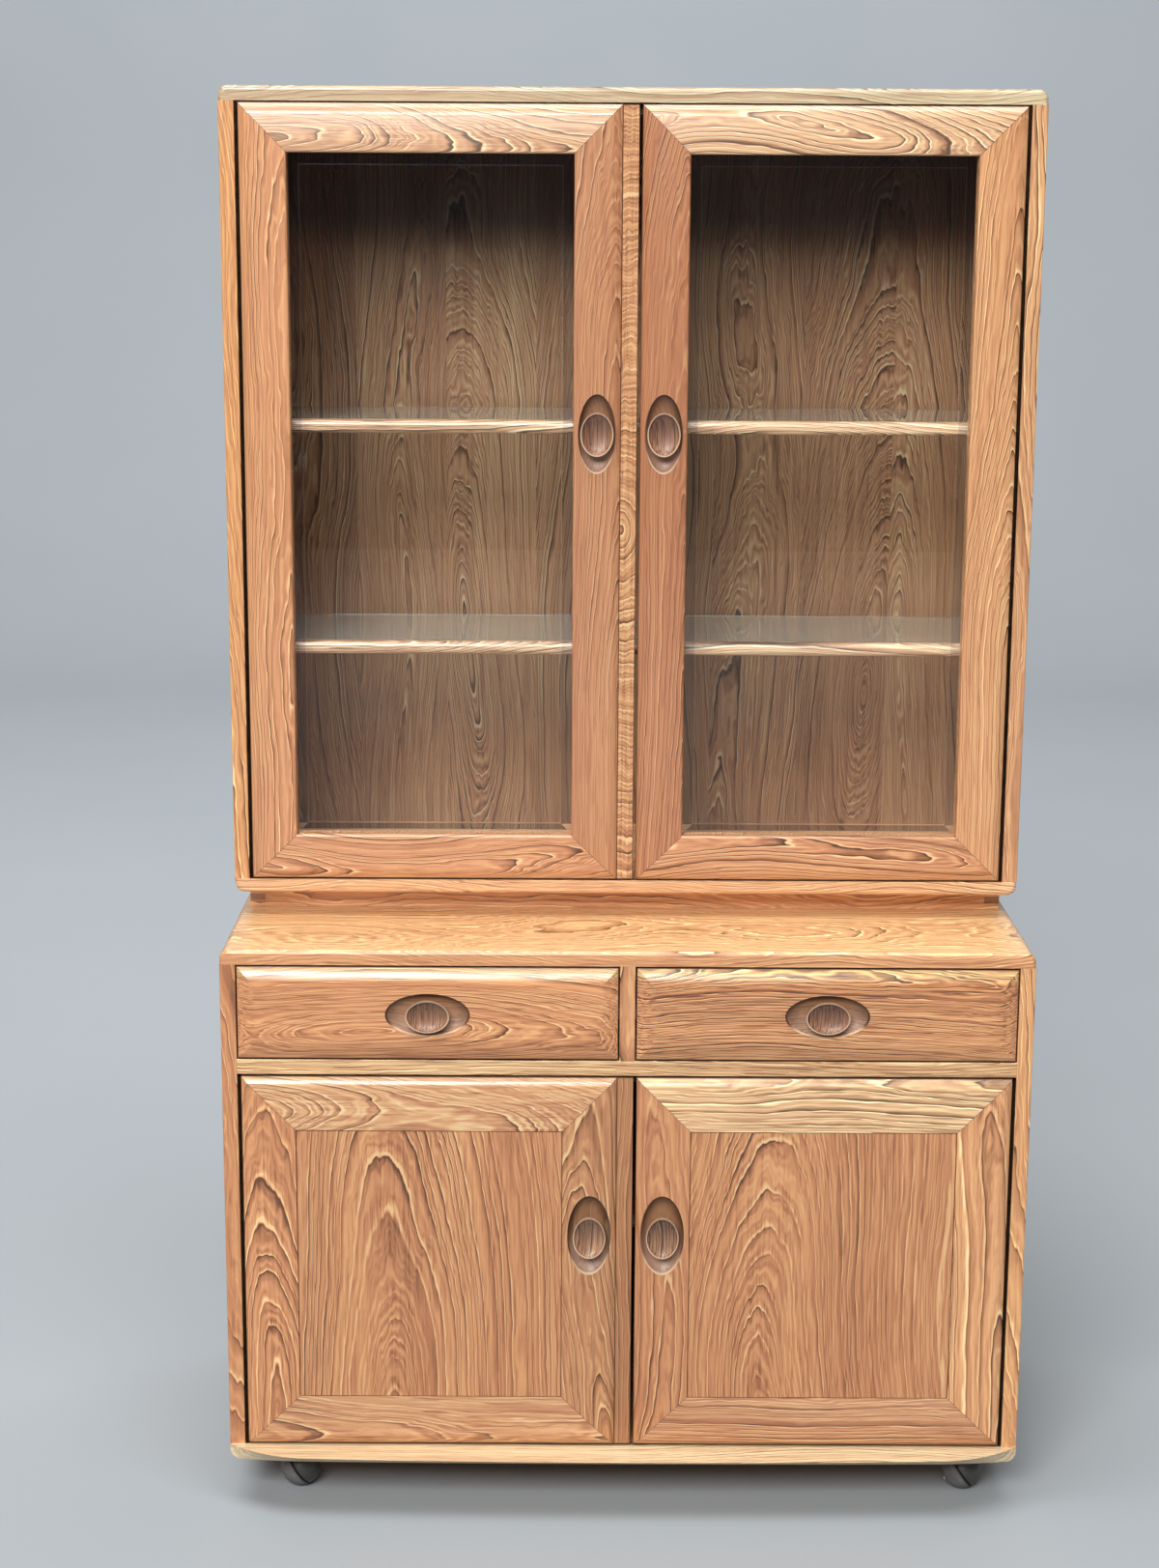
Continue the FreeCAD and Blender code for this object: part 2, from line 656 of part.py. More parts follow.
def castor(name, x, y):
    """Socket, swivelling hood and wheel of one ball castor; the ball trails to the right of its stem."""
    ball_x = f"{x} + trail"
    ball_z = "(ball_radius * cos(tread_half_angle))"
    lean = (Vector(0, 1, 0), value("90 - axle_slope"))
    sleeve = rod(f"{name}_sleeve", "socket_radius", "socket_depth", x, y, "castor_height")
    flange = rod(f"{name}_flange", "flange_radius", "flange", x, y, "castor_height - flange")
    bore = rod(f"{name}_bore", "stem_radius + running_clearance", "flange + stem_length",
               x, y, "castor_height - flange")
    socket = cut(f"{name}_socket", fuse(f"{name}_cup", [flange, sleeve]), bore)

    dome = solid("Sphere", f"{name}_dome", {"Radius": "ball_radius"}, ball_x, y, ball_z, lean)
    dome.Angle1 = 0
    neck_base = f"{ball_z} + neck_root"
    neck_top = "castor_height - flange - knuckle_gap"
    post = rod(f"{name}_post", "neck_radius", f"{neck_top} - ({neck_base})", x, y, neck_base)
    room = solid("Sphere", f"{name}_room", {"Radius": "ball_radius + ball_gap"}, ball_x, y, ball_z, lean)
    room.Angle2 = 0
    neck = cut(f"{name}_neck", post, room)
    stem = rod(f"{name}_stem", "stem_radius", f"flange + stem_length - knuckle_gap", x, y, neck_top)
    axle = rod(f"{name}_axle", "axle_radius", "axle_root + axle_length",
               f"{ball_x} - axle_length * cos(axle_slope)", y,
               f"{ball_z} - axle_length * sin(axle_slope)", lean)
    node(f"{name}_hood", fuse(f"{name}_swivel", [dome, neck, stem, axle]))

    wheel = doc.addObject("PartDesign::Body", f"{name}_ball")
    turned = wheel.newObject("PartDesign::Revolution", f"{name}_turned")
    tread_high = "(90 - axle_slope + tread_half_angle)"
    tread_low = "(90 - axle_slope - tread_half_angle)"
    bore_radius = "axle_radius + running_clearance"
    bore_end = "axle_length + knuckle_gap"
    at_centre = ("0", "0", "X")
    turned.Profile = outline(wheel, "XZ_Plane", [
        (bore_radius, "-ball_gap"),
        ("sqrt(ball_radius ^ 2 - ball_gap ^ 2)", "-ball_gap", at_centre),
        (f"ball_radius * sin({tread_high})", f"-ball_radius * cos({tread_high})"),
        (f"ball_radius * sin({tread_low})", f"-ball_radius * cos({tread_low})", at_centre),
        ("0", "-ball_radius"),
        ("0", f"-({bore_end})"),
        (bore_radius, f"-({bore_end})"),
    ])
    turned.ReferenceAxis = (turned.Profile[0], ["V_Axis"])
    turned.Angle = 360
    node(f"{name}_wheel", place(wheel, ball_x, y, ball_z, lean))
    return socket, sleeve


def pillow_front(name, x, y, z):
    """A drawer front whose four moulded flanks meet in hips at the corners."""
    depth = "(flank_run ^ 2 + crown ^ 2) / (2 * crown) - crown"
    shapes = []
    for plane, length, other in (("XY_Plane", DRAWER_WIDTH, "drawer_height"),
                                 ("YZ_Plane", "drawer_height", DRAWER_WIDTH)):
        near = [("0", "0", ("flank_run", depth, "X")), ("flank_run", "-crown")]
        far = [(f"{length} - flank_run", "-crown", (f"{length} - flank_run", depth, "X")), (length, "0")]
        back = [(length, "drawer_front"), ("0", "drawer_front")]
        steps = near + far + back
        if plane == "YZ_Plane":
            steps = [swap_axes(step) for step in steps]
        shapes.append(place(padded(f"{name}_{plane[:2].lower()}", plane, steps, other), x, y, z))
    pillow = doc.addObject("Part::Common", f"{name}_pillow")
    pillow.Base, pillow.Tool = shapes
    return pillow


def swap_axes(step):
    """The same outline step with its two coordinates exchanged."""
    if len(step) == 2:
        return step[1], step[0]
    centre_x, centre_y, fixed = step[2]
    return step[1], step[0], (centre_y, centre_x, "Y" if fixed == "X" else "X")


def drawer(name, x):
    """Front with its knob, and a grooved box that hangs on two runners; x is its left edge."""
    middle = f"{x} + {DRAWER_WIDTH} / 2"
    crest = f"{FRONT} - crown"
    knob_z = f"{DRAWER} + drawer_height / 2"
    pillow = pillow_front(name, x, FRONT, DRAWER)
    hollow = scoop(f"{name}_scoop", "recess_length", "recess_width", False, middle, crest, knob_z)
    node(f"{name}_front", cut(f"{name}_scooped", pillow, hollow))
    knob(f"{name}_knob", False, middle, crest, knob_z)

    near = f"{FRONT} + drawer_front"
    low = f"{DRAWER} + drawer_side_lift"
    inset = "(side_clearance - drawer_reveal)"
    left = f"{x} + {inset}"
    right = f"{x} + {DRAWER_WIDTH} - {inset} - drawer_side"
    groove_low = f"{DRAWER} + runner_lift - groove_clearance"
    groove_high = "runner_height + 2 * groove_clearance"
    sides = []
    for side, side_x, groove_x in (("left", left, left), ("right", right, f"{right} + drawer_side - groove_depth")):
        board = box(f"{name}_{side}_board", "drawer_side", "drawer_length", "drawer_side_height", side_x, near, low)
        groove = box(f"{name}_{side}_groove", "groove_depth", "drawer_length", groove_high,
                     groove_x, near, groove_low)
        sides.append(cut(f"{name}_{side}_side", board, groove))
    inside = f"({DRAWER_WIDTH} - 2 * {inset} - 2 * drawer_side)"
    inside_x = f"{left} + drawer_side"
    back = box(f"{name}_back", inside, "drawer_side", "drawer_side_height - drawer_bottom_lift - drawer_bottom",
               inside_x, f"{near} + drawer_length - drawer_side", f"{low} + drawer_bottom_lift + drawer_bottom")
    floor = box(f"{name}_floor", inside, "drawer_length", "drawer_bottom",
                inside_x, near, f"{low} + drawer_bottom_lift")
    node(f"{name}_box", group(f"{name}_boards", sides + [back, floor]))


def drawer_runners():
    """Four strips on the case sides and the divider, one in each drawer side's groove."""
    reach = "(side_clearance + runner_grip)"
    length = "drawer_length - drawer_front"
    near = f"{FRONT} + 2 * drawer_front"
    low = f"{DRAWER} + runner_lift"
    starts = [f"-{INNER}", f"-board / 2 - {reach}", "board / 2", f"{INNER} - {reach}"]
    strips = [box(f"runner_{index}", reach, length, "runner_height", start, near, low)
              for index, start in enumerate(starts)]
    node("drawer_runners", group("runner_strips", strips))


def glass_shelf(name, height):
    """A glass plate with a moulded wooden lip along its front edge; height is the lip's top."""
    level = f"({UPPER_FLOOR_TOP} + {height})"
    half = f"({INNER} - shelf_clearance)"
    front = f"{UPPER_FRONT} + lip_inset"
    plate = box(f"{name}_plate", f"2 * {half}", "glass_depth", "shelf_glass",
                f"-{half}", f"{front} + lip_depth", f"{level} - shelf_glass")
    profile = [
        ("lip_depth", "0"),
        ("lip_depth", "lip_height"),
        ("lip_round", "lip_height", ("lip_round", "lip_height - lip_round", "X")),
        ("0", "lip_height - lip_round"),
        ("0", "lip_round", ("lip_round", "lip_round", "X")),
        ("lip_round", "0"),
    ]
    lip = place(padded(f"{name}_lip", "YZ_Plane", profile, f"2 * {half}"),
                f"-{half}", front, f"{level} - lip_height")
    pins = shelf_pin_row(name, f"{level} - shelf_glass", f"{front} + lip_depth + pin_inset",
                         f"{front} + lip_depth + glass_depth - pin_inset")
    return plate, lip, pins


def base_case(pins, sleeves):
    """Boards of the base: top, sides, bottom, back, drawer rail and drawer divider."""
    rounded_end_board("base_top", FRONT, BASE_TOP, "base_depth", True)
    side_height = f"{BASE_TOP} - {FLOOR_TOP}"
    for side, x, fitted in (("left", f"-{HALF}", pins[:2]), ("right", INNER, pins[2:])):
        blank = box(f"base_{side}_blank", "board", "base_depth", side_height, x, FRONT, FLOOR_TOP)
        board = softened(f"base_{side}_board", blank)
        node(f"base_side_{side}", cut(f"base_{side}_drilled", board, group(f"base_{side}_holes", fitted)))
    node("base_bottom", cut("base_floor_drilled", base_floor(), group("base_floor_holes", sleeves)))
    node("base_back", box("base_back_sheet", f"2 * {INNER}", "back_panel", side_height,
                          f"-{INNER}", PANEL_FRONT, FLOOR_TOP))
    rail = box("rail_blank", f"2 * {INNER}", "rail_depth", "board", f"-{INNER}", FRONT, RAIL)
    node("drawer_rail", softened("rail_board", rail))
    divider = box("divider_blank", "board", f"{PANEL_FRONT} - {FRONT}", f"{BASE_TOP} - {RAIL_TOP}",
                  "-board / 2", FRONT, RAIL_TOP)
    node("drawer_divider", softened("divider_board", divider))


def upper_case(pins):
    """Boards of the upper unit: top, bottom, sides and back."""
    rounded_end_board("upper_top", UPPER_FRONT, UPPER_TOP, "upper_depth", True)
    rounded_end_board("upper_bottom", UPPER_FRONT, UPPER_FLOOR, "upper_depth", False)
    side_height = f"{UPPER_TOP} - {UPPER_FLOOR_TOP}"
    for side, x, fitted in (("left", f"-{HALF}", pins[0]), ("right", INNER, pins[1])):
        blank = box(f"upper_{side}_blank", "board", "upper_depth", side_height, x, UPPER_FRONT, UPPER_FLOOR_TOP)
        board = softened(f"upper_{side}_board", blank)
        node(f"upper_side_{side}", cut(f"upper_{side}_drilled", board, group(f"upper_{side}_holes", fitted)))
    node("upper_back", box("upper_back_sheet", f"2 * {INNER}", "back_panel", side_height,
                           f"-{INNER}", PANEL_FRONT, UPPER_FLOOR_TOP))


def build():
    top_glass, top_lip, top_pins = glass_shelf("top_shelf", "top_shelf_height")
    low_glass, low_lip, low_pins = glass_shelf("low_shelf", "low_shelf_height")
    node("shelf_glass", group("shelf_plates", [top_glass, low_glass]))
    node("shelf_lips", group("shelf_lip_pair", [top_lip, low_lip]))

    shelf_level = f"({FLOOR_TOP} + base_shelf_height)"
    shelf_half = f"({INNER} - shelf_clearance)"
    shelf_front = f"({PANEL_FRONT} - base_shelf_depth)"
    node("base_shelf", box("base_shelf_board", f"2 * {shelf_half}", "base_shelf_depth", "base_shelf",
                           f"-{shelf_half}", shelf_front, shelf_level))
    base_pins = shelf_pin_row("base_shelf", shelf_level, f"{shelf_front} + pin_inset", f"{PANEL_FRONT} - pin_inset")
    node("shelf_pins", group("shelf_pin_set", top_pins + low_pins + base_pins))

    sockets = []
    sleeves = []
    side = f"{HALF} - stem_inset_side"
    for end, y in (("front", f"{FRONT} + stem_inset_end"), ("back", f"{BACK} - stem_inset_end")):
        for hand, x in (("left", f"-({side})"), ("right", f"({side})")):
            socket, sleeve = castor(f"castor_{end}_{hand}", x, y)
            sockets.append(socket)
            sleeves.append(sleeve)
    node("castor_sockets", group("socket_set", sockets))

    base_case(base_pins, sleeves)
    upper_case((top_pins[:2] + low_pins[:2], top_pins[2:] + low_pins[2:]))
    plinth()
    drawer_runners()
    drawer("drawer_left", f"(drawer_reveal - {INNER})")
    drawer("drawer_right", "(board / 2 + drawer_reveal)")

    case_leaves = []
    pins = []
    left_x = f"(hinge_gap - {INNER})"
    right_x = f"({INNER} - hinge_gap - {DOOR_WIDTH})"
    slim_recess = ("slim_recess_length", "slim_recess_width")
    full_recess = ("recess_length", "recess_width")
    for hand, x in (("left", left_x), ("right", right_x)):
        left = hand == "left"
        upper = f"upper_door_{hand}"
        door(upper, glazed_profile(), "upper_frame", "upper_door_height", left,
             x, UPPER_FRONT, UPPER_DOOR, "upper_knob_height", slim_recess)
        bevelled_glass(f"{upper}_glass", x, UPPER_FRONT, UPPER_DOOR)
        glazing_beads(f"{upper}_beads", x, UPPER_FRONT, UPPER_DOOR)
        lower = f"lower_door_{hand}"
        door(lower, panelled_profile(), "lower_frame", "lower_door_height", left,
             x, FRONT, LOWER_DOOR, "lower_knob_height", full_recess)
        door_panel(f"{lower}_panel", x, FRONT, LOWER_DOOR)
        for name, height, y, z in ((upper, "upper_door_height", UPPER_FRONT, UPPER_DOOR),
                                   (lower, "lower_door_height", FRONT, LOWER_DOOR)):
            case_leaf, pin = piano_hinge(name, height, left, y, z)
            case_leaves.append(case_leaf)
            pins.append(pin)
    node("hinge_case_leaves", group("case_leaf_set", case_leaves))
    node("hinge_pins", group("hinge_pin_set", pins))

    catches = [box(f"{name}_catch", "catch_length", "catch_depth", "catch_height",
                   "-catch_length / 2", f"{y} + door_edge + catch_gap", f"{z} - catch_height")
               for name, y, z in (("upper", UPPER_FRONT, UPPER_TOP), ("lower", FRONT, RAIL))]
    node("door_catches", group("catch_set", catches))


def check():
    """Stop on any object that failed to build and on any sub-part that isn't sound."""
    doc.recompute()
    failed = [item.Name for item in doc.Objects if "Invalid" in item.State or "Error" in item.State]
    if failed:
        raise RuntimeError(f"these objects failed: {failed}")
    for name, item in nodes.items():
        shape = item.Shape
        if shape.isNull() or not shape.isValid() or not shape.Solids:
            raise RuntimeError(f"{name} isn't a sound solid")


def export():
    os.makedirs("parts", exist_ok=True)
    for name, item in nodes.items():
        item.Shape.exportStep(f"parts/{name}.step")
    print(len(nodes), "nodes,", sum(len(item.Shape.Solids) for item in nodes.values()), "solids")


build()
doc.removeObject("Readings")
check()
export()
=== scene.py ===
import json
import math

import bmesh
import bpy
from mathutils import Matrix, Vector


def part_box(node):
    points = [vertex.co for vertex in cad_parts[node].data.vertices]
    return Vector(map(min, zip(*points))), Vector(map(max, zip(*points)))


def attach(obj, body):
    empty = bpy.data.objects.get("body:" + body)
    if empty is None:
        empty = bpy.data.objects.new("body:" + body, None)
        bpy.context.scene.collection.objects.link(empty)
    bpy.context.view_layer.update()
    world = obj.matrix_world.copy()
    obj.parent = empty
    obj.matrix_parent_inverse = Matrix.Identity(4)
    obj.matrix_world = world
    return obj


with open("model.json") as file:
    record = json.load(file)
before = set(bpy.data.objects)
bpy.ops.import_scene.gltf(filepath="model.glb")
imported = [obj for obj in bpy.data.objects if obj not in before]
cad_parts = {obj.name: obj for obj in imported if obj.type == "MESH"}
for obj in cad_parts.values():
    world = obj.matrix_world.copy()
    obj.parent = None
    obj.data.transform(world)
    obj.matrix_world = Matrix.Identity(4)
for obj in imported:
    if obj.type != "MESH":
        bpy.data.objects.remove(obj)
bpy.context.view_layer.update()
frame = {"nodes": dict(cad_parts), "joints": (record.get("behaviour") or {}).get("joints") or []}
nodes = frame["nodes"]
scene = bpy.context.scene
scene.view_settings.view_transform = "Standard"

HANDS = ("left", "right")
SIGNS = {"left": -1.0, "right": 1.0}
DOORS = [(level, hand) for level in ("upper", "lower") for hand in HANDS]


def tone(red, green, blue):
    """A colour given in screen values from 0 to 255, as the linear colour that a socket takes."""
    parts = []
    for part in (red, green, blue):
        share = part / 255
        parts.append(share / 12.92 if share <= 0.04045 else ((share + 0.055) / 1.055) ** 2.4)
    return (*parts, 1.0)


class Wiring:
    """Adds nodes to a node tree and links them; a plain number or colour is set on the socket."""

    def __init__(self, tree):
        self.tree = tree

    def add(self, kind, **settings):
        node = self.tree.nodes.new(kind)
        for name, setting in settings.items():
            setattr(node, name, setting)
        return node

    def feed(self, socket, source):
        if isinstance(source, bpy.types.NodeSocket):
            self.tree.links.new(source, socket)
        else:
            socket.default_value = source

    def sum(self, operation, *sources):
        node = self.add("ShaderNodeMath", operation=operation)
        for socket, source in zip(node.inputs, sources):
            self.feed(socket, source)
        return node.outputs[0]

    def scaled(self, source, factor, offset=0.0):
        return self.sum("MULTIPLY_ADD", source, factor, offset)

    def total(self, *sources):
        result = sources[0]
        for source in sources[1:]:
            result = self.sum("ADD", result, source)
        return result

    def parts(self, vector):
        node = self.add("ShaderNodeSeparateXYZ")
        self.feed(node.inputs[0], vector)
        return node.outputs

    def vector(self, *sources):
        node = self.add("ShaderNodeCombineXYZ")
        for socket, source in zip(node.inputs, sources):
            self.feed(socket, source)
        return node.outputs[0]

    def stretched(self, vector, *factors):
        node = self.add("ShaderNodeVectorMath", operation="MULTIPLY")
        self.feed(node.inputs[0], vector)
        node.inputs[1].default_value = factors
        return node.outputs[0]

    def noise(self, vector, scale=1.0, detail=0.0, roughness=0.5):
        """Soft noise that swings about zero, from about -0.5 to 0.5."""
        node = self.add("ShaderNodeTexNoise")
        self.feed(node.inputs["Vector"], vector)
        node.inputs["Scale"].default_value = scale
        node.inputs["Detail"].default_value = detail
        node.inputs["Roughness"].default_value = roughness
        return self.sum("SUBTRACT", node.outputs[0], 0.5)

    def between(self, source, low, high, to_low=0.0, to_high=1.0):
        node = self.add("ShaderNodeMapRange", interpolation_type="SMOOTHSTEP")
        for socket, value in zip(node.inputs, (source, low, high, to_low, to_high)):
            self.feed(socket, value)
        return node.outputs[0]

    def ramp(self, factor, stops):
        node = self.add("ShaderNodeValToRGB")
        points = node.color_ramp.elements
        while len(points) < len(stops):
            points.new(0.5)
        for point, (place, colour) in zip(points, stops):
            point.position = place
            point.color = colour if isinstance(colour, tuple) else (colour, colour, colour, 1.0)
        self.feed(node.inputs[0], factor)
        return node.outputs[0]

    def blend(self, mode, factor, first, second):
        node = self.add("ShaderNodeMix", data_type="RGBA", blend_type=mode)
        self.feed(node.inputs["Factor"], factor)
        self.feed(node.inputs[6], first)
        self.feed(node.inputs[7], second)
        return node.outputs[2]


GRAIN_SOCKETS = {
    "Place": "NodeSocketVector",
    "Seed": "NodeSocketFloat",
    "Heart": "NodeSocketFloat",
    "Under": "NodeSocketFloat",
    "Lean": "NodeSocketFloat",
    "Twist": "NodeSocketFloat",
    "Wander": "NodeSocketFloat",
    "Ring": "NodeSocketFloat",
    "Plank": "NodeSocketFloat",
    "Phase": "NodeSocketFloat",
    "Spread": "NodeSocketFloat",
    "Contrast": "NodeSocketFloat",
    "Wood": "NodeSocketColor",
}
GRAIN_RESULTS = {"Wood": "NodeSocketColor", "Gloss": "NodeSocketFloat", "Relief": "NodeSocketFloat"}

# How often each kind of mark repeats in a metre: across, through and along the board
DRIFT_REPEATS = (2.0, 2.0, 2.8)
SWAY_REPEATS = (6.0, 6.0, 4.5)
JAG_REPEATS = (60.0, 60.0, 14.0)
PATCH_REPEATS = (11.0, 11.0, 2.6)
PORE_REPEATS = (620.0, 620.0, 24.0)
FIBRE_REPEATS = (260.0, 260.0, 6.0)
STREAK_REPEATS = (14.0, 14.0, 1.0)
RIPPLE_REPEATS = 2300.0

# How far the heart drifts sideways and sways in depth, and how far rings and ripples are jagged, in metres
DRIFT_REACH = 0.10
SWAY_REACH = 0.050
RING_JAG = 0.0060
RIPPLE_JAG = 0.016

# How uneven the rings are, how strong each one is by chance, and how strong patches of them are
RING_UNEVENNESS = 4.2
RING_SPAN = 0.29
RING_CHANCE = (0.95, 0.25)
PATCH_STRENGTH = (0.45, 1.35)
NARROW_SHARE = 0.26

# How much each kind of mark moves the depth of tone about its middle
STREAK_SHARE = 0.36
FIBRE_SHARE = 0.36
FIGURE_SHARE = 1.70
PORE_SHARE = 0.26
RIPPLE_SHARE = 0.07
PLANK_SHARE = 0.10
MIDDLE_TONE = 0.44
PLAIN_ROUGHNESS = 0.25

# Depth of line over one ring, and the colour of the wood by its depth of tone
RING_STOPS = [(0.0, 0.34), (0.045, 0.20), (0.12, 0.42), (0.30, 0.47), (0.74, 0.52), (0.89, 0.68),
              (0.965, 0.98), (1.0, 0.34)]
WOOD_STOPS = [
    (0.0, tone(245, 208, 154)),
    (0.25, tone(227, 174, 120)),
    (0.50, tone(202, 142, 98)),
    (0.75, tone(164, 109, 70)),
    (1.0, tone(98, 62, 38)),
]


def elm_grain_group():
    """Rings of plain-sawn elm as a board's faces cut them: Place is across, through and along the board.

    The heart of the tree lies Under the face and leans along the board, so that the rings show as arches
    at the heart and as straight lines beside it. Planks side by side are cut from different places.
    """
    tree = bpy.data.node_groups.new("elm_grain", "ShaderNodeTree")
    for name, kind in GRAIN_SOCKETS.items():
        tree.interface.new_socket(name, in_out="INPUT", socket_type=kind)
    for name, kind in GRAIN_RESULTS.items():
        tree.interface.new_socket(name, in_out="OUTPUT", socket_type=kind)
    w = Wiring(tree)
    given = w.add("NodeGroupInput").outputs
    place = given["Place"]
    across, through, along = w.parts(place)
    seed = given["Seed"]

    # Which plank, and what differs from plank to plank
    plank = w.sum("FLOOR", w.total(w.sum("DIVIDE", across, given["Plank"]), given["Phase"]))
    middle = w.sum("MULTIPLY", w.total(plank, w.scaled(given["Phase"], -1.0, 0.5)), given["Plank"])
    lot = w.add("ShaderNodeTexWhiteNoise", noise_dimensions="3D")
    w.feed(lot.inputs["Vector"], w.vector(plank, seed, 0.37))
    lots = [w.sum("SUBTRACT", part, 0.5) for part in w.parts(lot.outputs["Color"])]
    board = w.vector(w.scaled(plank, 3.7), w.scaled(seed, 5.3), w.scaled(seed, 2.9))
    shifted = w.add("ShaderNodeVectorMath", operation="ADD")
    w.feed(shifted.inputs[0], place)
    w.feed(shifted.inputs[1], board)
    grain_place = shifted.outputs[0]

    # How far each point is from the heart
    wander = given["Wander"]
    drift_noise = w.noise(w.stretched(grain_place, *DRIFT_REPEATS))
    drift = w.sum("MULTIPLY", w.scaled(drift_noise, DRIFT_REACH), wander)
    sway_noise = w.noise(w.stretched(grain_place, *SWAY_REPEATS))
    sway = w.sum("MULTIPLY", w.scaled(sway_noise, SWAY_REACH), wander)
    side = w.total(across, w.sum("MULTIPLY", middle, -1.0), w.sum("MULTIPLY", given["Heart"], -1.0),
                   w.sum("MULTIPLY", lots[0], given["Spread"]), drift)
    slope = w.total(given["Lean"], w.sum("MULTIPLY", plank, given["Twist"]),
                    w.sum("MULTIPLY", w.scaled(lots[1], 2.0), given["Spread"]))
    below = w.total(through, given["Under"], w.sum("MULTIPLY", w.scaled(lots[2], 0.6), given["Spread"]),
                    w.sum("MULTIPLY", slope, along), sway)
    reach = w.sum("SQRT", w.total(w.sum("MULTIPLY", side, side), w.sum("MULTIPLY", below, below)))
    jag = w.noise(w.stretched(grain_place, *JAG_REPEATS), detail=2.0, roughness=0.6)
    radius = w.total(reach, w.scaled(jag, RING_JAG))

    # Rings of uneven width: a thin pale line, then ground that darkens towards the next line
    even = w.sum("DIVIDE", radius, given["Ring"])
    spans = w.noise(w.vector(w.scaled(even, RING_SPAN), w.scaled(seed, 1.3), 0.0), detail=1.0)
    uneven = w.scaled(spans, RING_UNEVENNESS)
    count = w.total(even, uneven)
    phase = w.sum("FRACT", count)
    ring_lot = w.add("ShaderNodeTexWhiteNoise", noise_dimensions="1D")
    w.feed(ring_lot.inputs["W"], w.total(w.sum("FLOOR", count), w.scaled(seed, 13.7)))
    line = w.ramp(phase, RING_STOPS)
    weight = w.scaled(ring_lot.outputs["Value"], *RING_CHANCE)
    patch = w.between(w.noise(w.stretched(grain_place, *PATCH_REPEATS)), -0.20, 0.20, *PATCH_STRENGTH)
    broad = w.sum("MULTIPLY", w.sum("MULTIPLY", w.scaled(line, 1.0, -0.5), weight), patch)
    narrow = w.scaled(w.sum("PINGPONG", w.scaled(w.total(count, w.scaled(jag, 0.5)), 2.0), 0.5), 1.0, -0.25)
    figure = w.total(broad, w.scaled(narrow, NARROW_SHARE))

    # Pores beside the lines, fibres everywhere and fine ripples where the face runs along a ring
    porous = w.between(phase, 0.05, 0.45, 1.0, 0.30)
    pore_noise = w.noise(w.stretched(grain_place, *PORE_REPEATS))
    pore = w.sum("MULTIPLY", w.between(pore_noise, 0.02, 0.14), porous)
    fibre = w.noise(w.stretched(grain_place, *FIBRE_REPEATS), detail=1.0, roughness=0.6)
    streak = w.noise(w.stretched(grain_place, *STREAK_REPEATS), detail=1.0)
    facing = w.sum("DIVIDE", below, reach)
    waves = w.sum("SINE", w.scaled(w.total(reach, w.scaled(jag, RIPPLE_JAG)), RIPPLE_REPEATS))
    ripple = w.sum("MULTIPLY", w.sum("MULTIPLY", facing, facing), waves)
    shares = ((streak, STREAK_SHARE), (fibre, FIBRE_SHARE), (figure, FIGURE_SHARE), (pore, PORE_SHARE),
              (ripple, RIPPLE_SHARE), (lots[2], PLANK_SHARE))
    swing = w.total(*[w.scaled(mark, share) for mark, share in shares])
    depth_of_tone = w.total(MIDDLE_TONE, w.sum("MULTIPLY", swing, given["Contrast"]))
    wood = w.ramp(depth_of_tone, WOOD_STOPS)
    given_out = w.add("NodeGroupOutput").inputs
    w.feed(given_out["Wood"], w.blend("MULTIPLY", 1.0, wood, given["Wood"]))
    w.feed(given_out["Gloss"], w.total(PLAIN_ROUGHNESS, w.scaled(figure, 0.12), w.scaled(pore, 0.16),
                                       w.scaled(streak, 0.08)))
    w.feed(given_out["Relief"], w.total(w.scaled(figure, -0.5), w.scaled(pore, -0.6), w.scaled(fibre, 0.35)))
    return tree


ELM_GRAIN = elm_grain_group()
SINGLE_BOARD = 10.0
ELM_BUMP = 0.22
ELM_BUMP_DEPTH = 0.0004
SOFTER_SHEEN = 0.20

# Joint lines of the mitred frames and of the comb joints, as half widths in metres or shares of a finger
MITRE_TONE = (92, 54, 32)
MITRE_HALF = (0.0002, 0.0007)
MITRE_STRENGTH = 0.75
BOARD = 0.0175
COMB_COUNT = 4
END_GRAIN = (104, 62, 36)
END_GRAIN_STRENGTH = 0.55
FINGER_LINE = (0.02, 0.07)

# Scooped recesses: half width and half height, tones, and how far up and out each tone runs, 1 on the oval
RECESS_HALVES = {"upper": (0.021, 0.044), "lower": (0.0245, 0.047), "drawer": (0.047, 0.0245)}
# Painted tones of the recess: shade at the top and on the wall, reflection at the foot, a shadow line along
# the top edge and a highlight line along the foot edge
RECESS_TOP_SHADE = (150, 109, 80)
RECESS_FOOT_REFLECTION = (146, 122, 110)
RECESS_WALL_SHADE = (0.34, 0.32, 0.31, 1.0)
RECESS_EDGE_TOP_SHADOW = (58, 36, 24)
RECESS_EDGE_FOOT_HIGHLIGHT = (240, 208, 172)
RECESS_GRAIN = 0.35
RECESS_RISE = (-0.95, 0.5)
RECESS_WALL_REACH = (0.55, 0.97)
RECESS_EDGE_RISE = (-0.75, -0.35)
RECESS_EDGE_REACH = (0.955, 0.98)
RECESS_EDGE_STRENGTH = 0.8
RECESS_END = (1.0, 1.015)

# Knobs: painted shade darker towards the top of the dish, with a painted highlight on the rim that is
# strongest at the foot
KNOB_WOOD = (0.49, 0.455, 0.51)
KNOB_TOP_SHADE = (0.50, 0.46, 0.46, 1.0)
KNOB_TOP_SHADE_RISE = (-0.7, 0.8)
KNOB_RIM_HIGHLIGHT = (222, 188, 156)
KNOB_RIM_HIGHLIGHT_REACH = (0.915, 0.945)
KNOB_RIM_HIGHLIGHT_RISE = (-0.5, 0.6, 0.65, 0.38)
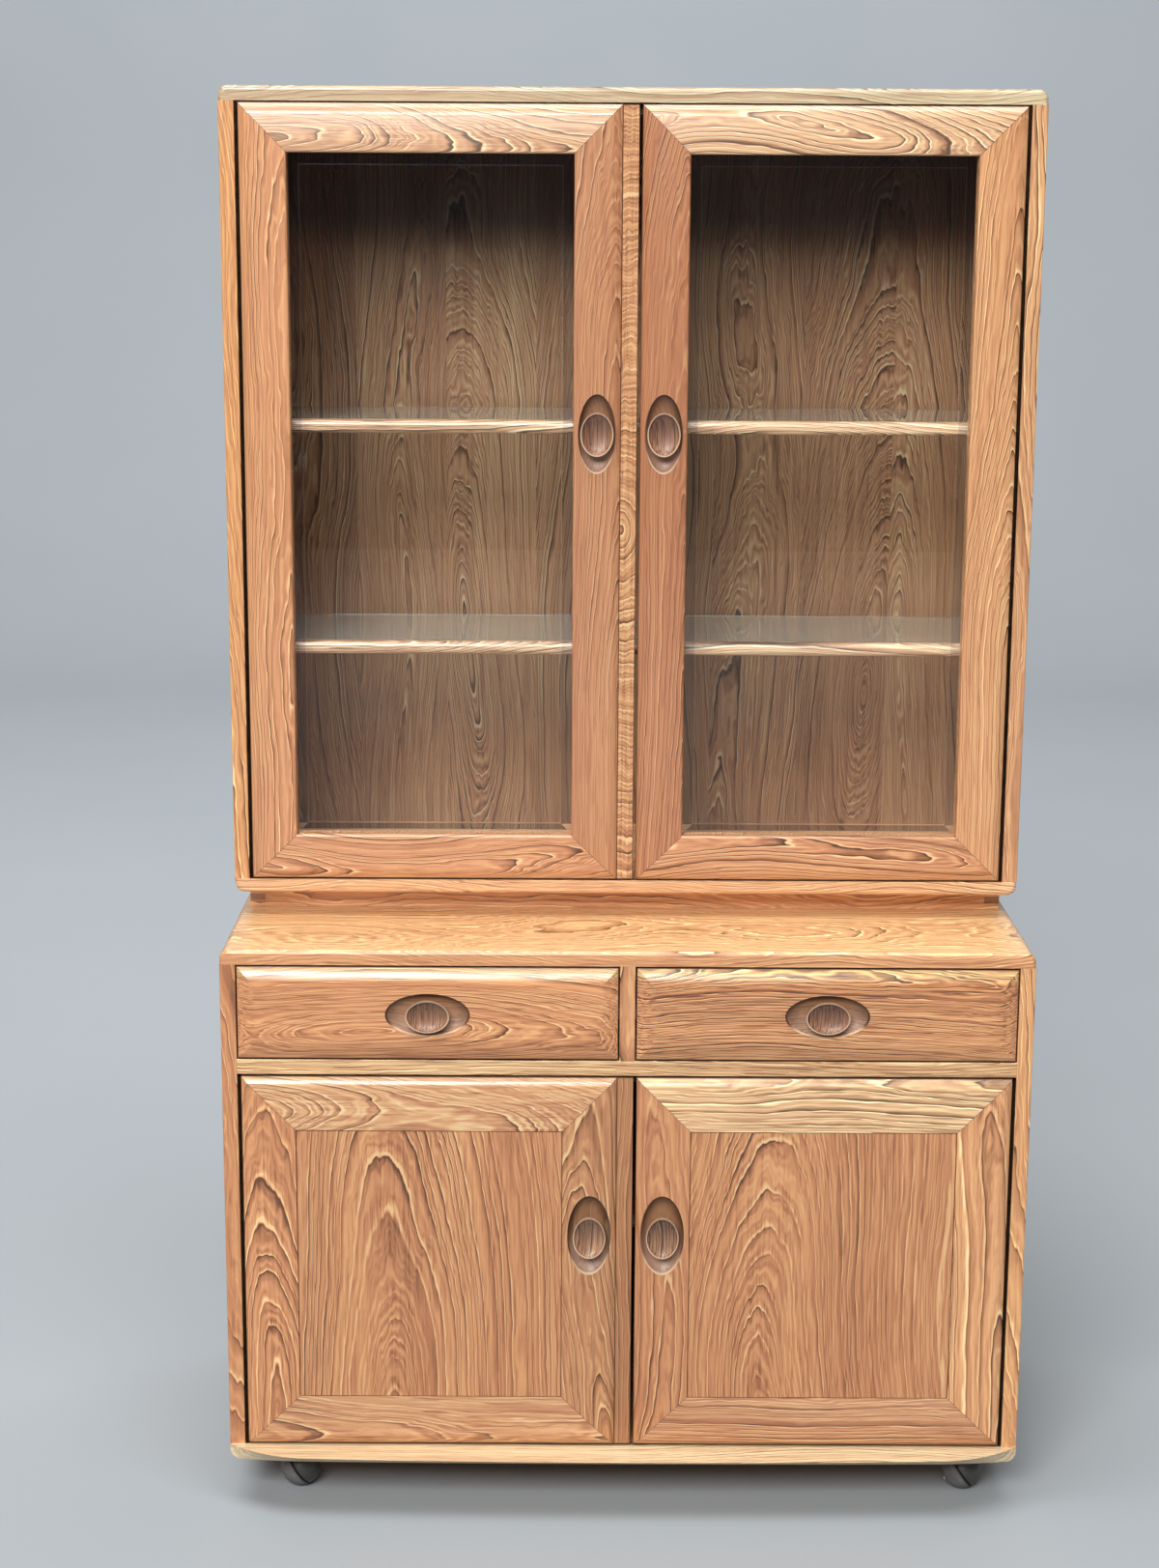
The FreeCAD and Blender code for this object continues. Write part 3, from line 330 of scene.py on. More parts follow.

# Painted shade in the shut gaps, on the outer edges of the doors and drawers and on the boards just under
# them
SHUT_EDGE_SHADE = (92, 60, 40)
SHUT_EDGE_SHADE_WIDTH = (0.0003, 0.0010)
SHUT_EDGE_SHADE_STRENGTH = 0.9
SHUT_FLOOR_SHADE = (84, 56, 38)
SHUT_FLOOR_SHADE_START = (0.0006, 0.0014)
SHUT_FLOOR_SHADE_END = (0.008, 0.011)
SHUT_FLOOR_SHADE_STRENGTH = 0.8
TOP_FACE_DEPTH = 0.0004


def started_material(name):
    """An empty material with its shader and output."""
    material = bpy.data.materials.new(name)
    material.use_nodes = True
    w = Wiring(material.node_tree)
    shader = material.node_tree.nodes["Principled BSDF"]
    return material, w, shader


def board_place(w, centre, order):
    """Object coordinates about a board's centre, in the order across, through, along."""
    place = w.add("ShaderNodeTexCoord").outputs["Object"]
    moved = w.add("ShaderNodeVectorMath", operation="SUBTRACT")
    w.feed(moved.inputs[0], place)
    moved.inputs[1].default_value = centre
    axes = dict(zip("xyz", w.parts(moved.outputs[0])))
    return w.vector(*[axes[letter] for letter in order])


def edge_reaches(w, low, high):
    """How far in from the upright edges and from the level edges of an upright face a point lies."""
    across, _, up = w.parts(w.add("ShaderNodeTexCoord").outputs["Object"])
    reaches = []
    for place, near, far in ((across, low.x, high.x), (up, low.z, high.z)):
        offset = w.sum("ABSOLUTE", w.sum("SUBTRACT", place, (near + far) / 2))
        reaches.append(w.sum("SUBTRACT", (far - near) / 2, offset))
    return reaches


def mitre_line(w, low, high):
    """Where the corner joints of a frame between these corners show: 1 on the joint, 0 away from it."""
    reach = edge_reaches(w, low, high)
    apart = w.sum("ABSOLUTE", w.sum("SUBTRACT", reach[0], reach[1]))
    return w.between(apart, *MITRE_HALF, 1.0, 0.0)


def comb_fingers(w, low, high):
    """End grain of every second finger in the comb joints at the plinth's corners, and the joint lines."""
    across, deep, up = w.parts(w.add("ShaderNodeTexCoord").outputs["Object"])
    in_corner = 1.0
    for place, near, far in ((across, low.x, high.x), (deep, low.y, high.y)):
        offset = w.sum("ABSOLUTE", w.sum("SUBTRACT", place, (near + far) / 2))
        in_corner = w.sum("MULTIPLY", in_corner, w.sum("GREATER_THAN", offset, (far - near) / 2 - BOARD))
    finger = w.sum("DIVIDE", w.sum("SUBTRACT", up, low.z), (high.z - low.z) / COMB_COUNT)
    second = w.sum("GREATER_THAN", w.sum("MODULO", finger, 2.0), 1.0)
    joint = w.between(w.sum("PINGPONG", finger, 0.5), *FINGER_LINE, 1.0, 0.0)
    return w.sum("MULTIPLY", in_corner, w.sum("MAXIMUM", w.scaled(second, END_GRAIN_STRENGTH), joint))


def oval(w, knob, half_width, half_height):
    """How far out of a knob's middle a point lies, 1 on this oval, and how high up, from -1 to 1."""
    low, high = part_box(knob)
    middle = (low + high) / 2
    across, _, up = w.parts(w.add("ShaderNodeTexCoord").outputs["Object"])
    shares = []
    for place, centre, half in ((across, middle.x, half_width), (up, middle.z, half_height)):
        shares.append(w.sum("DIVIDE", w.sum("SUBTRACT", place, centre), half))
    squares = [w.sum("MULTIPLY", share, share) for share in shares]
    return w.sum("SQRT", w.total(*squares)), shares[1]


def scooped(w, colour, knob, half_width, half_height):
    """Wood with the recess behind a knob, painted darker along its top as shade and paler along its foot as
    reflection, and where it lies.
    """
    reach, height = oval(w, knob, half_width, half_height)
    rise = w.between(height, *RECESS_RISE)
    # Painted shade on the top and upper wall of the recess, painted reflection at its foot, and painted
    # shadow and highlight lines along its top and foot edges
    painted_light = w.blend("MIX", rise, tone(*RECESS_FOOT_REFLECTION), tone(*RECESS_TOP_SHADE))
    painted_light = w.blend("MIX", RECESS_GRAIN, painted_light, colour)
    wall = w.sum("MULTIPLY", rise, w.between(reach, *RECESS_WALL_REACH))
    painted_light = w.blend("MULTIPLY", wall, painted_light, RECESS_WALL_SHADE)
    edge_rise = w.between(height, *RECESS_EDGE_RISE)
    edge = w.blend("MIX", edge_rise, tone(*RECESS_EDGE_FOOT_HIGHLIGHT), tone(*RECESS_EDGE_TOP_SHADOW))
    painted_light = w.blend("MIX", w.between(reach, *RECESS_EDGE_REACH, 0.0, RECESS_EDGE_STRENGTH), painted_light, edge)
    inside = w.between(reach, *RECESS_END, 1.0, 0.0)
    return w.blend("MIX", inside, colour, painted_light), inside


def rimmed(w, colour, knob, half_width, half_height):
    """Wood of a dished knob, with painted shade towards the top of the dish and a painted highlight along its
    rim.
    """
    reach, height = oval(w, knob, half_width, half_height)
    # Painted shade towards the top of the dish and a painted highlight on the rim, strongest at the foot
    dished = w.blend("MULTIPLY", w.between(height, *KNOB_TOP_SHADE_RISE), colour, KNOB_TOP_SHADE)
    painted_light = w.sum("MULTIPLY", w.between(reach, *KNOB_RIM_HIGHLIGHT_REACH), w.between(height, *KNOB_RIM_HIGHLIGHT_RISE))
    return w.blend("MIX", painted_light, dished, tone(*KNOB_RIM_HIGHLIGHT))


def multiplied(w, where, colour, factors):
    """A colour with its parts multiplied by these factors where asked."""
    return w.blend("MIX", where, colour, w.blend("MULTIPLY", 1.0, colour, (*factors, 1.0)))


def elm(node, order, seed, heart=0.0, under=0.06, lean=0.15, twist=0.0, wander=1.0, ring=0.0055,
        plank=SINGLE_BOARD, phase=0.5, spread=0.0, contrast=1.0, wood=(1.0, 1.0, 1.0), second_wood=None,
        frame_box=None, top_painted_light=None, rear_tone=None, comb=False, recess=None, rim=None, shut_box=None,
        shut_floor=None, shine=0.75):
    """Oiled elm on one piece of the cabinet, with its own cut of the log.

    second_wood tones the second plank. top_painted_light is a colour factor, a painted highlight on some
    pieces and a painted shadow on others, and where below the top it starts and is full; rear_tone is a tone
    and the plane behind which it shows. frame_box holds the corners of a mitred frame, and shut_box those of
    a door or drawer whose edges are darkened as painted shade. shut_floor is the front plane of what shuts
    above, just behind which painted shade darkens the top face.
    """
    low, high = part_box(node)
    material, w, shader = started_material(f"elm_{node}")
    grain = w.add("ShaderNodeGroup", node_tree=ELM_GRAIN)
    place = board_place(w, (low + high) / 2, order)
    w.feed(grain.inputs["Place"], place)
    settings = {"Seed": seed, "Heart": heart, "Under": under, "Lean": lean, "Twist": twist, "Wander": wander,
                "Ring": ring, "Plank": plank, "Phase": phase, "Spread": spread, "Contrast": contrast,
                "Wood": (*wood, 1.0)}
    for name, setting in settings.items():
        grain.inputs[name].default_value = setting
    colour = grain.outputs["Wood"]
    gloss = grain.outputs["Gloss"]
    _, deep, up = w.parts(w.add("ShaderNodeTexCoord").outputs["Object"])
    if second_wood:
        colour = multiplied(w, w.sum("GREATER_THAN", w.parts(place)[0], 0.0), colour, second_wood)
    if frame_box:
        mitre = w.scaled(mitre_line(w, *frame_box), MITRE_STRENGTH)
        colour = w.blend("MIX", mitre, colour, tone(*MITRE_TONE))
    # A band near the top tinted as painted light: a highlight on some pieces, a shadow on others
    if top_painted_light:
        topmost, start, end = top_painted_light
        upmost = w.between(up, high.z - start, high.z - end)
        if rear_tone:
            upmost = w.sum("MULTIPLY", upmost, w.sum("LESS_THAN", deep, rear_tone[1]))
        colour = multiplied(w, upmost, colour, topmost)
    if rear_tone:
        farther, start = rear_tone
        colour = multiplied(w, w.sum("GREATER_THAN", deep, start), colour, farther)
    # Painted shade: the outer edges of a door or drawer darkened as in the shut gap
    if shut_box:
        border = w.sum("MINIMUM", *edge_reaches(w, *shut_box))
        gap_shade = w.between(border, *SHUT_EDGE_SHADE_WIDTH, SHUT_EDGE_SHADE_STRENGTH, 0.0)
        colour = w.blend("MIX", gap_shade, colour, tone(*SHUT_EDGE_SHADE))
    # Painted shade on the top face just behind the front plane of what shuts above
    if shut_floor is not None:
        starts = [shut_floor + step for step in SHUT_FLOOR_SHADE_START]
        ends = [shut_floor + step for step in SHUT_FLOOR_SHADE_END]
        under_door = w.sum("MULTIPLY", w.between(deep, *starts), w.between(deep, *ends, 1.0, 0.0))
        on_top = w.sum("GREATER_THAN", up, high.z - TOP_FACE_DEPTH)
        gap_shade = w.scaled(w.sum("MULTIPLY", under_door, on_top), SHUT_FLOOR_SHADE_STRENGTH)
        colour = w.blend("MIX", gap_shade, colour, tone(*SHUT_FLOOR_SHADE))
    if comb:
        colour = w.blend("MIX", comb_fingers(w, low, high), colour, tone(*END_GRAIN))
    if recess:
        colour, inside = scooped(w, colour, *recess)
        gloss = w.total(gloss, w.scaled(inside, SOFTER_SHEEN))
    if rim:
        colour = rimmed(w, colour, node, *rim)
        gloss = w.total(gloss, SOFTER_SHEEN)
    w.feed(shader.inputs["Base Color"], colour)
    w.feed(shader.inputs["Roughness"], gloss)
    shader.inputs["Specular IOR Level"].default_value = shine
    bump = w.add("ShaderNodeBump")
    bump.inputs["Strength"].default_value = ELM_BUMP
    bump.inputs["Distance"].default_value = ELM_BUMP_DEPTH
    w.feed(bump.inputs["Height"], grain.outputs["Relief"])
    w.feed(shader.inputs["Normal"], bump.outputs[0])
    dress(node, material)


def dress(node, material):
    """Give a piece of the cabinet its material."""
    slots = nodes[node].data.materials
    slots.clear()
    slots.append(material)


# Boards of the case; the boards of a side are glued up from two planks
UPPER_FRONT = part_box("upper_bottom")[0].y
BASE_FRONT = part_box("drawer_rail")[0].y
BOTTOM_LIP = 0.006
# The base top is tinted paler and bluer on its top face and front arris as a painted highlight
elm("base_top", "yzx", 1.0, heart=-0.15, under=0.12, lean=0.02, ring=0.0050, contrast=1.1,
    wood=(0.98, 0.94, 0.92), top_painted_light=((1.24, 1.60, 1.75), 0.0025, 0.0005))
# The upper top is tinted paler and bluer as a painted highlight on its over-bright front face
elm("upper_top", "yzx", 2.0, heart=-0.10, under=0.14, lean=0.02, ring=0.0050, wood=(0.80, 1.18, 1.58))
elm("upper_bottom", "yzx", 3.0, heart=-0.10, under=-0.14, lean=0.02, ring=0.0050, wood=(1.10, 1.24, 1.42),
    shut_floor=UPPER_FRONT)
elm("base_bottom", "yzx", 4.0, heart=0.16, under=0.05, lean=0.02, contrast=1.1, wood=(1.12, 1.64, 2.15),
    rear_tone=((0.90, 0.63, 0.49), BASE_FRONT + BOTTOM_LIP), shut_floor=BASE_FRONT)
# The plinth is tinted paler as painted light, standing in for lamp light that its set-back front does not get
elm("plinth_frame", "zyx", 5.0, heart=0.05, under=0.05, lean=0.03, wood=(1.42, 1.52, 1.55), comb=True)
elm("drawer_rail", "zyx", 6.0, heart=0.03, under=0.03, lean=0.03, wander=0.5, ring=0.0036, contrast=1.9,
    wood=(1.10, 1.30, 1.38), shut_floor=BASE_FRONT)
elm("drawer_divider", "xyz", 7.0, heart=0.06, under=0.06, lean=0.05, wood=(0.94, 0.93, 0.92))
elm("base_shelf", "yzx", 8.0, heart=0.08, under=0.05, lean=0.03)
elm("shelf_lips", "zyx", 9.0, heart=0.03, under=0.03, lean=0.02, ring=0.005, contrast=1.6,
    wood=(0.68, 0.84, 1.12))
BASE_SIDE_WOODS = {"left": (0.88, 0.79, 0.745), "right": (1.12, 1.16, 1.08)}
UPPER_SIDE_WOODS = {"left": (1.035, 1.03, 0.92), "right": (0.98, 1.04, 1.10)}
for hand, seed in zip(HANDS, (11.0, 12.5)):
    elm(f"base_side_{hand}", "yxz", seed, heart=0.03, under=0.05, lean=0.09, wander=0.5, plank=0.225,
        phase=0.0, spread=0.05, contrast=0.8, wood=BASE_SIDE_WOODS[hand])
    elm(f"upper_side_{hand}", "yxz", seed + 3.0, heart=0.02, under=0.05, lean=0.07, wander=0.5, plank=0.15,
        phase=0.0, spread=0.05, contrast=1.0, wood=UPPER_SIDE_WOODS[hand])

# Veneered backs, darkened inside as painted shade and plain behind; the upper one has a painted shadow along
# the top inside
BACK_SHADED_WOOD = (0.290, 0.320, 0.388)
BACK_TOP_SHADOW = ((0.40, 0.38, 0.47), 0.180, 0.118)
REAR_UNSHADED = (2.6, 2.5, 2.2)
for node, seed, top_painted_light in (("upper_back", 23.0, BACK_TOP_SHADOW), ("base_back", 22.0, None)):
    low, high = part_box(node)
    elm(node, "xyz", seed, heart=0.0, under=0.030, lean=0.10, wander=0.8, ring=0.0040, plank=0.110, phase=0.0,
        spread=0.09, contrast=1.3, wood=BACK_SHADED_WOOD, top_painted_light=top_painted_light,
        rear_tone=(REAR_UNSHADED, (low.y + high.y) / 2), shine=0.30)

# How the grain of each door's stiles leans, the left one first, then of its rails, the lower one first
STILE_LEANS = {"upper_left": (0.02, 0.07), "upper_right": (0.05, 0.06), "lower_left": (0.17, 0.06),
               "lower_right": (0.03, 0.14)}
RAIL_LEANS = {"upper_left": (0.03, 0.09), "upper_right": (0.03, 0.06), "lower_left": (0.04, 0.24),
              "lower_right": (0.02, 0.03)}

# Where the heart lies, sideways and under the face, how far it wanders, the rings' width and their contrast
STILE_CUTS = {"upper": (0.045, 0.050, 0.45, 0.0044, 0.85), "lower": (0.010, 0.030, 0.9, 0.0078, 1.0)}
UPPER_RAIL_CUT = (0.0, 0.035, 1.0, 0.0044, 1.05)
RAIL_CUTS = {"upper_left": UPPER_RAIL_CUT, "upper_right": UPPER_RAIL_CUT,
             "lower_left": (0.0, 0.070, 1.0, 0.0070, 1.4), "lower_right": (0.050, 0.050, 0.6, 0.0062, 1.25)}

# The tone of each door's lower rail and left stile, and how its upper rail and right stile differ
UPPER_RAIL_WOODS = ((0.94, 0.93, 1.02), (1.0, 1.20, 1.32))
RAIL_WOODS = {"upper_left": UPPER_RAIL_WOODS,
              "upper_right": UPPER_RAIL_WOODS,
              "lower_left": ((0.86, 0.86, 0.92), (0.98, 0.99, 0.98)),
              "lower_right": ((0.86, 0.84, 0.92), (1.40, 1.90, 2.02))}
STILE_WOODS = {"upper_left": ((0.98, 0.96, 1.00), (0.76, 0.71, 0.74)),
               "upper_right": ((0.68, 0.58, 0.60), (1.50, 1.80, 1.80)),
               "lower_left": ((0.99, 0.92, 0.88), (0.82, 0.85, 0.86)),
               "lower_right": ((0.79, 0.69, 0.66), (1.42, 1.66, 1.72))}

# Doors: stiles and rails are pairs of planks, one each side of the door's middle
FRAME_WIDTHS = {"upper": 0.053, "lower": 0.061}
for number, (level, hand) in enumerate(DOORS):
    door = f"{level}_door_{hand}"
    door_key = f"{level}_{hand}"
    low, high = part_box(f"{door}_stiles")
    seed = 31.0 + 7.0 * number
    first, second = STILE_LEANS[door_key]
    heart, under, wander, ring, contrast = STILE_CUTS[level]
    wood, second_wood = STILE_WOODS[door_key]
    elm(f"{door}_stiles", "xyz", seed, heart=heart, under=under, lean=second, twist=second - first,
        wander=wander, ring=ring, contrast=contrast, plank=high.x - low.x - FRAME_WIDTHS[level], phase=0.0,
        spread=0.05, wood=wood, second_wood=second_wood, frame_box=(low, high),
        recess=(f"{door}_knob", *RECESS_HALVES[level]), shut_box=(low, high))
    first, second = RAIL_LEANS[door_key]
    heart, under, wander, ring, contrast = RAIL_CUTS[door_key]
    wood, second_wood = RAIL_WOODS[door_key]
    elm(f"{door}_rails", "zyx", seed + 2.0, heart=heart, under=under, lean=second, twist=second - first,
        wander=wander, ring=ring, contrast=contrast, plank=high.z - low.z - FRAME_WIDTHS[level], phase=0.0,
        spread=0.04, wood=wood, second_wood=second_wood, frame_box=(low, high), shut_box=(low, high))
for hand in HANDS:
    elm(f"upper_door_{hand}_beads", "xyz", 61.0, heart=0.05, under=0.05, lean=0.05)
elm("upper_door_left_strip", "xyz", 63.0, heart=0.0, under=0.020, lean=0.60, wander=0.6, ring=0.0110,
    contrast=1.4, wood=(0.80, 0.78, 0.78), shut_box=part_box("upper_door_left_strip"))
elm("lower_door_left_strip", "xyz", 64.0, heart=0.06, under=0.05, lean=0.05, wander=0.3, contrast=0.7,
    wood=(0.64, 0.57, 0.52), shut_box=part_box("lower_door_left_strip"))
PANEL_WOOD = (0.82, 0.74, 0.70)
for hand, seed, heart in (("left", 71.0, -0.044), ("right", 72.0, -0.055)):
    elm(f"lower_door_{hand}_panel", "xyz", seed, heart=heart, under=0.050, lean=0.19, wander=0.7, ring=0.0080,
        contrast=1.15, wood=PANEL_WOOD)

# Drawers
DRAWER_WOOD = (0.99, 0.91, 0.86)
# Drawer fronts are tinted paler along their top flanks as a painted highlight
DRAWER_TOP_HIGHLIGHT = ((1.06, 1.46, 1.44), 0.016, 0.006)
elm("drawer_left_front", "zyx", 84.0, heart=-0.02, under=0.020, lean=0.14, wander=0.4, ring=0.0048,
    contrast=1.25, wood=DRAWER_WOOD, top_painted_light=DRAWER_TOP_HIGHLIGHT,
    recess=("drawer_left_knob", *RECESS_HALVES["drawer"]), shut_box=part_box("drawer_left_front"))
elm("drawer_right_front", "zyx", 82.0, heart=0.05, under=0.020, lean=0.05, wander=0.5, ring=0.0040,
    contrast=1.8, wood=DRAWER_WOOD, top_painted_light=DRAWER_TOP_HIGHLIGHT,
    recess=("drawer_right_knob", *RECESS_HALVES["drawer"]), shut_box=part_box("drawer_right_front"))

# Knobs
KNOBS = [f"{level}_door_{hand}_knob" for level, hand in DOORS] + [f"drawer_{hand}_knob" for hand in HANDS]
for number, knob in enumerate(KNOBS):
    low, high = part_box(knob)
    elm(knob, "xyz", 91.0 + number, heart=0.06, under=0.03, lean=0.04, wander=0.3, ring=0.0040, contrast=1.9,
        wood=KNOB_WOOD, rim=((high.x - low.x) / 2, (high.z - low.z) / 2))

# Drawer boxes and runners in pale beech
for number, node in enumerate(("drawer_left_box", "drawer_right_box", "drawer_runners")):
    elm(node, "zyx", 101.0 + number, heart=0.06, under=0.05, lean=0.04, contrast=0.45, wood=(1.0, 1.04, 1.06))


SPECKLE_BUMP = 0.15
SPECKLE_BUMP_DEPTH = 0.0003
SPLIT_SHADE = (16, 15, 15)
SPLIT_SHADE_FADE = (-0.0042, -0.0022)


def speckled(name, dark, pale, scale, rough, metallic=0.0, split=None):
    """A worn finish whose tone and gloss wander a little over the surface.

    A split is a point and a direction: painted shade darkens the plane through the point across that
    direction.
    """
    material, w, shader = started_material(name)
    place = w.add("ShaderNodeTexCoord").outputs["Object"]
    cloud = w.noise(place, scale, detail=4.0, roughness=0.6)
    fine = w.noise(place, scale * 9.0, detail=2.0)
    mixed = w.total(0.5, w.scaled(cloud, 1.1), w.scaled(fine, 0.5))
    colour = w.ramp(mixed, [(0.2, dark), (0.8, pale)])
    if split:
        # Painted shade along the split
        point, direction = split
        inwards = w.add("ShaderNodeVectorMath", operation="DOT_PRODUCT")
        w.feed(inwards.inputs[0], place)
        inwards.inputs[1].default_value = direction
        depth = w.sum("SUBTRACT", inwards.outputs["Value"], point.dot(direction))
        colour = w.blend("MIX", w.between(depth, *SPLIT_SHADE_FADE), colour, tone(*SPLIT_SHADE))
    w.feed(shader.inputs["Base Color"], colour)
    w.feed(shader.inputs["Roughness"], w.total(rough, w.scaled(cloud, 0.25), w.scaled(fine, 0.10)))
    shader.inputs["Metallic"].default_value = metallic
    bump = w.add("ShaderNodeBump")
    bump.inputs["Strength"].default_value = SPECKLE_BUMP
    bump.inputs["Distance"].default_value = SPECKLE_BUMP_DEPTH
    w.feed(bump.inputs["Height"], fine)
    w.feed(shader.inputs["Normal"], bump.outputs[0])
    return material


bronze = speckled("dark_bronze", tone(26, 20, 16), tone(58, 44, 33), 60.0, 0.42, metallic=1.0)
hood_paint = speckled("hood_paint", tone(56, 54, 53), tone(78, 75, 73), 45.0, 0.38)
steel = speckled("pin_steel", tone(150, 148, 146), tone(190, 188, 186), 90.0, 0.34, metallic=1.0)
catch_plastic = speckled("catch_plastic", tone(70, 46, 30), tone(92, 62, 42), 80.0, 0.50)

for node in nodes:
    if "hinge" in node:
        dress(node, bronze)
    elif node.endswith("_hood"):
        dress(node, hood_paint)
for node in ("shelf_pins", "castor_sockets"):
    dress(node, steel)
dress("door_catches", catch_plastic)


BEVEL_END = 0.0205
BEVEL_TINT = (224, 230, 237)
BEVEL_BLUR = 0.0006
BEVEL_LINE = (0.0002, 0.0010)
BEVEL_LINE_ROUGHNESS = 0.25
GLASS_ROUGHNESS = 0.012
LAMP_LIGHT_THROUGH = (0.92, 0.93, 0.92, 1.0)


def clear_glass(name, body, edge_tint, bending, clearness=1.0, bevelled=None):
    """Polished plate glass that lets lamp light through to what is behind it.

    Clearness below 1 is a film of dust; a bevelled pane has a ground border that ends in a thin line.
    """
    material, w, shader = started_material(name)
    place = w.add("ShaderNodeTexCoord").outputs["Object"]
    cloud = w.noise(place, 7.0, detail=2.0)
    colour = w.ramp(w.total(0.5, cloud), [(0.2, edge_tint), (0.8, body)])
    rough = w.between(cloud, -0.3, 0.3, 0.0, GLASS_ROUGHNESS)
    if bevelled:
        border = w.sum("MINIMUM", *edge_reaches(w, *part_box(bevelled)))
        ground = w.between(border, BEVEL_END - BEVEL_BLUR, BEVEL_END, 1.0, 0.0)
        colour = w.blend("MIX", ground, colour, tone(*BEVEL_TINT))
        off_line = w.sum("ABSOLUTE", w.sum("SUBTRACT", border, BEVEL_END))
        rough = w.total(rough, w.between(off_line, *BEVEL_LINE, BEVEL_LINE_ROUGHNESS, 0.0))
    w.feed(shader.inputs["Base Color"], colour)
    w.feed(shader.inputs["Roughness"], rough)
    shader.inputs["Transmission Weight"].default_value = clearness
    shader.inputs["IOR"].default_value = bending
    path = w.add("ShaderNodeLightPath")
    clear = w.add("ShaderNodeBsdfTransparent")
    clear.inputs["Color"].default_value = LAMP_LIGHT_THROUGH
    mixed = w.add("ShaderNodeMixShader")
    w.feed(mixed.inputs[0], path.outputs["Is Shadow Ray"])
    w.feed(mixed.inputs[1], shader.outputs[0])
    w.feed(mixed.inputs[2], clear.outputs[0])
    w.feed(material.node_tree.nodes["Material Output"].inputs["Surface"], mixed.outputs[0])
    return material


PANE_BENDING = 1.30
SHELF_BENDING = 1.50
SHELF_CLEARNESS = 0.94
for hand in HANDS:
    pane = f"upper_door_{hand}_glass"
    dress(pane, clear_glass(f"pane_glass_{hand}", tone(250, 252, 251), tone(246, 250, 248), PANE_BENDING,
                            bevelled=pane))
dress("shelf_glass", clear_glass("shelf_plate", tone(246, 251, 248), tone(240, 248, 244), SHELF_BENDING,
                                 clearness=SHELF_CLEARNESS))


def made_object(name, mesh_maker):
    """A new object at the origin whose mesh is shaped by mesh_maker."""
    shape = bmesh.new()
    mesh_maker(shape)
    mesh = bpy.data.meshes.new(name)
    shape.to_mesh(mesh)
    shape.free()
    made = bpy.data.objects.new(name, mesh)
    scene.collection.objects.link(made)
    return made


def finished(made, body, material):
    """Give a new piece its material and slot, and let it ride on its body."""
    made.data.materials.append(material)
    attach(made, body)


HEAD_RADIUS = 0.0024
HEAD_TAPER = 0.92
HEAD_PROUD = 0.00025
SLOT_HALF = 0.00035


def screw_head_mesh():
    """A flat screw head with one slot, facing up, to be copied to its places."""
    shape = bmesh.new()
    bmesh.ops.create_cone(shape, cap_ends=True, segments=16, radius1=HEAD_RADIUS,
                          radius2=HEAD_RADIUS * HEAD_TAPER, depth=2 * HEAD_PROUD)
    for edge_of_slot in (-SLOT_HALF, SLOT_HALF):
        everything = [*shape.verts, *shape.edges, *shape.faces]
        bmesh.ops.bisect_plane(shape, geom=everything, plane_co=(edge_of_slot, 0.0, 0.0),
                               plane_no=(1.0, 0.0, 0.0))
    slot = [face for face in shape.faces
            if face.normal.z > 0.9 and abs(face.calc_center_median().x) < SLOT_HALF]
    sunk = bmesh.ops.extrude_discrete_faces(shape, faces=slot)["faces"]
    corners = {vert for face in sunk for vert in face.verts}
    bmesh.ops.translate(shape, verts=list(corners), vec=(0.0, 0.0, -HEAD_PROUD))
    mesh = bpy.data.meshes.new("screw_head")
    shape.to_mesh(mesh)
    shape.free()
    return mesh


SCREW_HEAD = screw_head_mesh()
SLOT_TURN = 2.4


def screws(name, body, material, places, facing):
    """Screw heads at these places, facing one way, each with its slot turned its own way."""

    def row(shape):
        aim = Vector(facing).to_track_quat("Z", "Y").to_matrix().to_4x4()
        for number, place in enumerate(places):
            before = len(shape.verts)
            shape.from_mesh(SCREW_HEAD)
            shape.verts.ensure_lookup_table()
            turned_head = Matrix.Translation(place) @ aim @ Matrix.Rotation(number * SLOT_TURN, 4, "Z")
            bmesh.ops.transform(shape, matrix=turned_head, verts=shape.verts[before:])

    finished(made_object(name, row), body, material)


def stations(start, end, count):
    """Evenly spaced places from start to end."""
    return [start + (end - start) * number / (count - 1) for number in range(count)]


# Screws round the edges of the two backs
EDGE_INSET = 0.011
UPRIGHT_MARGIN = 0.04
LEVEL_MARGIN = 0.16
LEVEL_COUNT = 4
for back, upright_count in (("upper_back", 6), ("base_back", 4)):
    low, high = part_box(back)
    sides = [(x, high.y, z) for x in (low.x + EDGE_INSET, high.x - EDGE_INSET)
             for z in stations(low.z + UPRIGHT_MARGIN, high.z - UPRIGHT_MARGIN, upright_count)]
    ends = [(x, high.y, z) for z in (low.z + EDGE_INSET, high.z - EDGE_INSET)
            for x in stations(low.x + LEVEL_MARGIN, high.x - LEVEL_MARGIN, LEVEL_COUNT)]
    screws(f"{back}_screws", "case", steel, sides + ends, (0.0, 1.0, 0.0))

